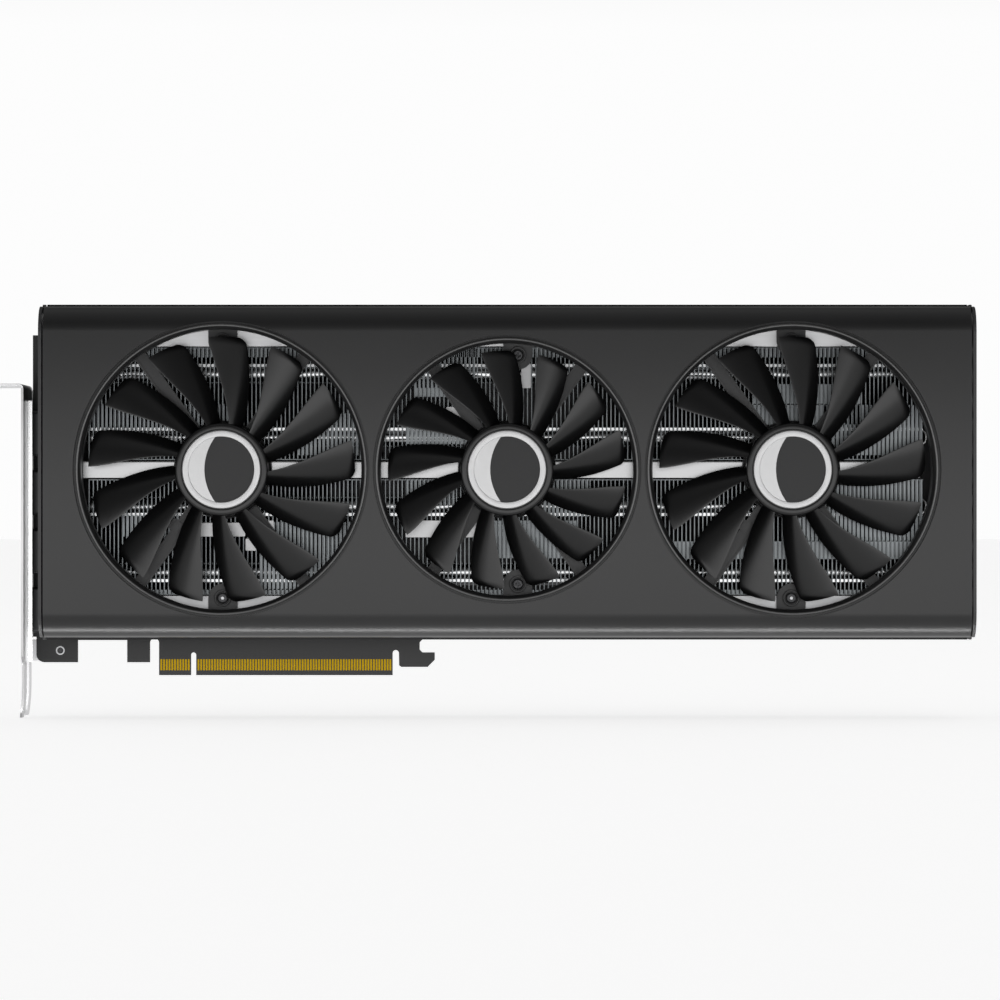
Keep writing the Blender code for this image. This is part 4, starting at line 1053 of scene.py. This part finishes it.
def bracket():
    """Bright sheet with its bent tab, a folded strip, and feet screwed to the board."""
    low, high = card_box("bracket")
    bracket_sheet(low, high)
    bracket_tab(low, high)
    inner = BRACKET_U + SHEET
    fold = bmesh.new()
    strip = rounded((inner - 0.1, FOOT_SPANS[0][0]), (inner + FOLD_WIDTH, FOLD_TOP), 0.4, 3)
    prism(fold, strip, SHADED_W - SHEET, SHADED_W)
    # The folded strip carries a painted highlight, a near-white copy of the steel
    soften(piece("bracket_fold", fold, STEEL_PAINTED_HIGHLIGHT), 0.15, 2, 50.0)
    feet = bmesh.new()
    back = -BOARD_HALF - FOOT_GAP
    for (near, far), spot in zip(FOOT_SPANS, BOARD_HOLES):
        outline = rounded((inner - 0.1, near), (BRACKET_U + FOOT_LENGTH, far), 0.7)
        plate(feet, [outline, circle(spot, BOARD_HOLE, 32)], back - SHEET, back)
    soften(piece("bracket_feet", feet, STEEL), 0.12, 2, 50.0)
    for label, spot in zip(("lower", "upper"), BOARD_HOLES):
        back_screw("bracket_screw_" + label, spot, back - SHEET - 0.3, BRACKET_SCREW, 0.4)


def back_screw(node, spot, seat, sizes, end):
    """A pan head screw with a cross recess, driven from the card's back."""
    shank, radius, height = sizes
    corner = height * 0.6
    bm = bmesh.new()
    profile = [(0.0, seat - height), (radius - corner, seat - height)]
    profile += arc((radius - corner, seat - height + corner), corner, 270.0, 360.0, 6)
    profile += [(radius, seat), (shank, seat), (shank, end), (0.0, end)]
    lathe(bm, profile, 40, spot, closed=False)
    made = piece(node + "_looks", bm, BLACK_STEEL, [node], None, 40.0)
    cut_cross(made, spot[0], spot[1], (radius / 2, radius * 0.075), seat - height - 1.0,
              seat - height * 0.45)


BACK_SLOTS = 11
BACK_SLOT_U = (232.7, 238.5)
BACK_SLOT_V = 26.0
BACK_SLOT_HEIGHT = 4.5
BACK_SLOT_PITCH = 9.0
BACK_HOLE = 1.8
BACK_HOLES = ((20.0, 36.0), (96.0, 110.0))
RIBS = 7  # pressed lines
RIB_U = 118.0
RIB_PITCH = 13.0
RIB_WIDTH = 2.2
RIB_LEAN = 28.0
RIB_INSET = 12.0  # from the plate's long edges


def backplate():
    """Coated metal cover with rolled edges, slots, pressed lines and its screws."""
    low, high = card_box("backplate")
    slots = []
    for i in range(BACK_SLOTS):
        v = BACK_SLOT_V + BACK_SLOT_PITCH * i
        slots.append(rounded((BACK_SLOT_U[0], v), (BACK_SLOT_U[1], v + BACK_SLOT_HEIGHT), 2.2))
    holes = [circle(spot, BACK_HOLE, 32) for spot in BACK_HOLES]
    bm = bmesh.new()
    plate(bm, [rounded(low, high, 4.0, 10)] + slots + holes, low[2], high[2])
    sheet = piece("backplate_sheet", bm, BACK_METAL, ["backplate"])
    soften(sheet, 0.3, 3, 50.0, BACK_EDGE)
    ribs = bmesh.new()
    bottom, top = low[1] + RIB_INSET, high[1] - RIB_INSET
    for i in range(RIBS):
        u = RIB_U + RIB_PITCH * i
        outline = [(u, bottom), (u + RIB_WIDTH, bottom)]
        outline += [(u + RIB_LEAN + RIB_WIDTH, top), (u + RIB_LEAN, top)]
        prism(ribs, outline, low[2] - 0.25, low[2] + 0.3)
    soften(piece("backplate_ribs", ribs, BACK_METAL), 0.15)
    for label, spot in zip(("lower", "upper"), BACK_HOLES):
        back_screw("backplate_screw_" + label, spot, low[2] - 0.3, BACK_SCREW, -1.2)


# -------- stage

SKY = ((-1.0, 0.8), (-0.1, 0.98), (0.09, 0.98), (0.18, 0.3), (0.75, 0.16), (1.0, 0.45))
SKY_FRONT = 0.75  # the sky's strength in front of the card
SKY_TURN = 0.3  # how far to each side of the card it changes
FLOOR_GAP = 0.0002  # metres, below the lowest tip
PANEL_TOP = 0.103
PANEL_WIDTH = 0.66
CAMERA_PLACE = (0.075, -2.0, 0.0639)
FOCAL_LENGTH = 197.3


def area_light(name, place, aim, size, power):
    """A rectangular lamp that the camera doesn't see."""
    lamp = bpy.data.lights.new(name, "AREA")
    lamp.shape = "RECTANGLE"
    lamp.size, lamp.size_y = size
    lamp.energy = power
    made = in_scene(name, lamp)
    made.location = place
    made.rotation_euler = (Vector(aim) - Vector(place)).to_track_quat("-Z", "Y").to_euler()
    made.visible_camera = False


def studio_sky():
    """Bright along the horizon, dim above it, brighter overhead, and less bright in front of the card."""
    world = bpy.data.worlds.new("studio")
    world.use_nodes = True
    nodes, links = world.node_tree.nodes, world.node_tree.links
    place = nodes.new("ShaderNodeTexCoord")
    split = nodes.new("ShaderNodeSeparateXYZ")
    ramp = nodes.new("ShaderNodeValToRGB")
    height = nodes.new("ShaderNodeMapRange")
    set_inputs(height, {"From Min": -1.0})
    links.new(place.outputs["Generated"], split.inputs["Vector"])
    links.new(split.outputs["Z"], height.inputs["Value"])
    links.new(height.outputs["Result"], ramp.inputs["Fac"])
    while len(ramp.color_ramp.elements) < len(SKY):
        ramp.color_ramp.elements.new(0.5)
    for element, (sine, level) in zip(ramp.color_ramp.elements, SKY):
        element.position = (sine + 1.0) / 2
        element.color = (level, level, level, 1.0)
    links.new(ramp.outputs["Color"], nodes["Background"].inputs["Color"])
    depth = nodes.new("ShaderNodeMapRange")
    set_inputs(depth, {"From Min": -SKY_TURN, "From Max": SKY_TURN, "To Min": SKY_FRONT})
    links.new(split.outputs["Y"], depth.inputs["Value"])
    links.new(depth.outputs["Result"], nodes["Background"].inputs["Strength"])
    return world


def stage():
    """Pale floor, soft studio light and the camera, square on to the fan side."""
    floor_z = CAD_BOX[0].z - FLOOR_GAP
    bpy.ops.mesh.primitive_circle_add(vertices=96, radius=9.0, fill_type="NGON",
                                      location=(0.07, 0, floor_z))
    floor = bpy.context.object
    floor.name = "floor"
    floor.data.materials.append(shade("floor_paper", (0.8, 0.8, 0.8), 0.8, grain=400.0, bump=0.05,
                                      spread=0.01, specular=0.2, glow=0.72))
    floor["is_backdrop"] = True
    bpy.context.scene.world = studio_sky()
    bpy.context.scene.view_settings.view_transform = "Standard"
    low, high = CAD_BOX
    middle = (low.x + high.x) / 2
    area_light("overhead", (middle, -0.3, 2.2), (middle, -0.3, 0.0), (3.0, 3.0), 3.0)
    strip_y = low.y + 0.0025
    area_light("under_strip", (middle, strip_y, floor_z + 0.001), (middle, strip_y, 1.0),
               (high.x - low.x + 0.02, 0.004), 0.1)
    panel_low = floor_z + 0.002
    panel_z = (panel_low + PANEL_TOP) / 2
    area_light("low_front", (middle, low.y - 0.2, panel_z), (middle, 0.0, panel_z),
               (PANEL_WIDTH, PANEL_TOP - panel_low), 0.42)
    lens = bpy.data.cameras.new("camera")
    lens.lens = FOCAL_LENGTH
    lens.sensor_width = 36.0
    lens.clip_start, lens.clip_end = 0.05, 50.0
    camera = in_scene("camera", lens)
    camera.location = CAMERA_PLACE
    camera.rotation_euler = (pi / 2, 0.0, 0.0)
    bpy.context.scene.camera = camera


def only_card():
    """The low lamps light the card and not the floor beside them."""
    lit = bpy.data.collections.new("lit_by_low_lamps")
    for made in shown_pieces():
        lit.objects.link(made)
    for name in ("low_front", "under_strip"):
        bpy.data.objects[name].light_linking.receiver_collection = lit


stage()
for fan_side in SIDES:
    fan(fan_side)
shroud()
cooler()
board()
dress_nodes()
for socket in ("a", "b"):
    power_socket(socket)
for socket in (1, 2, 3, 4):
    display_socket(socket)
bracket()
backplate()

only_card()
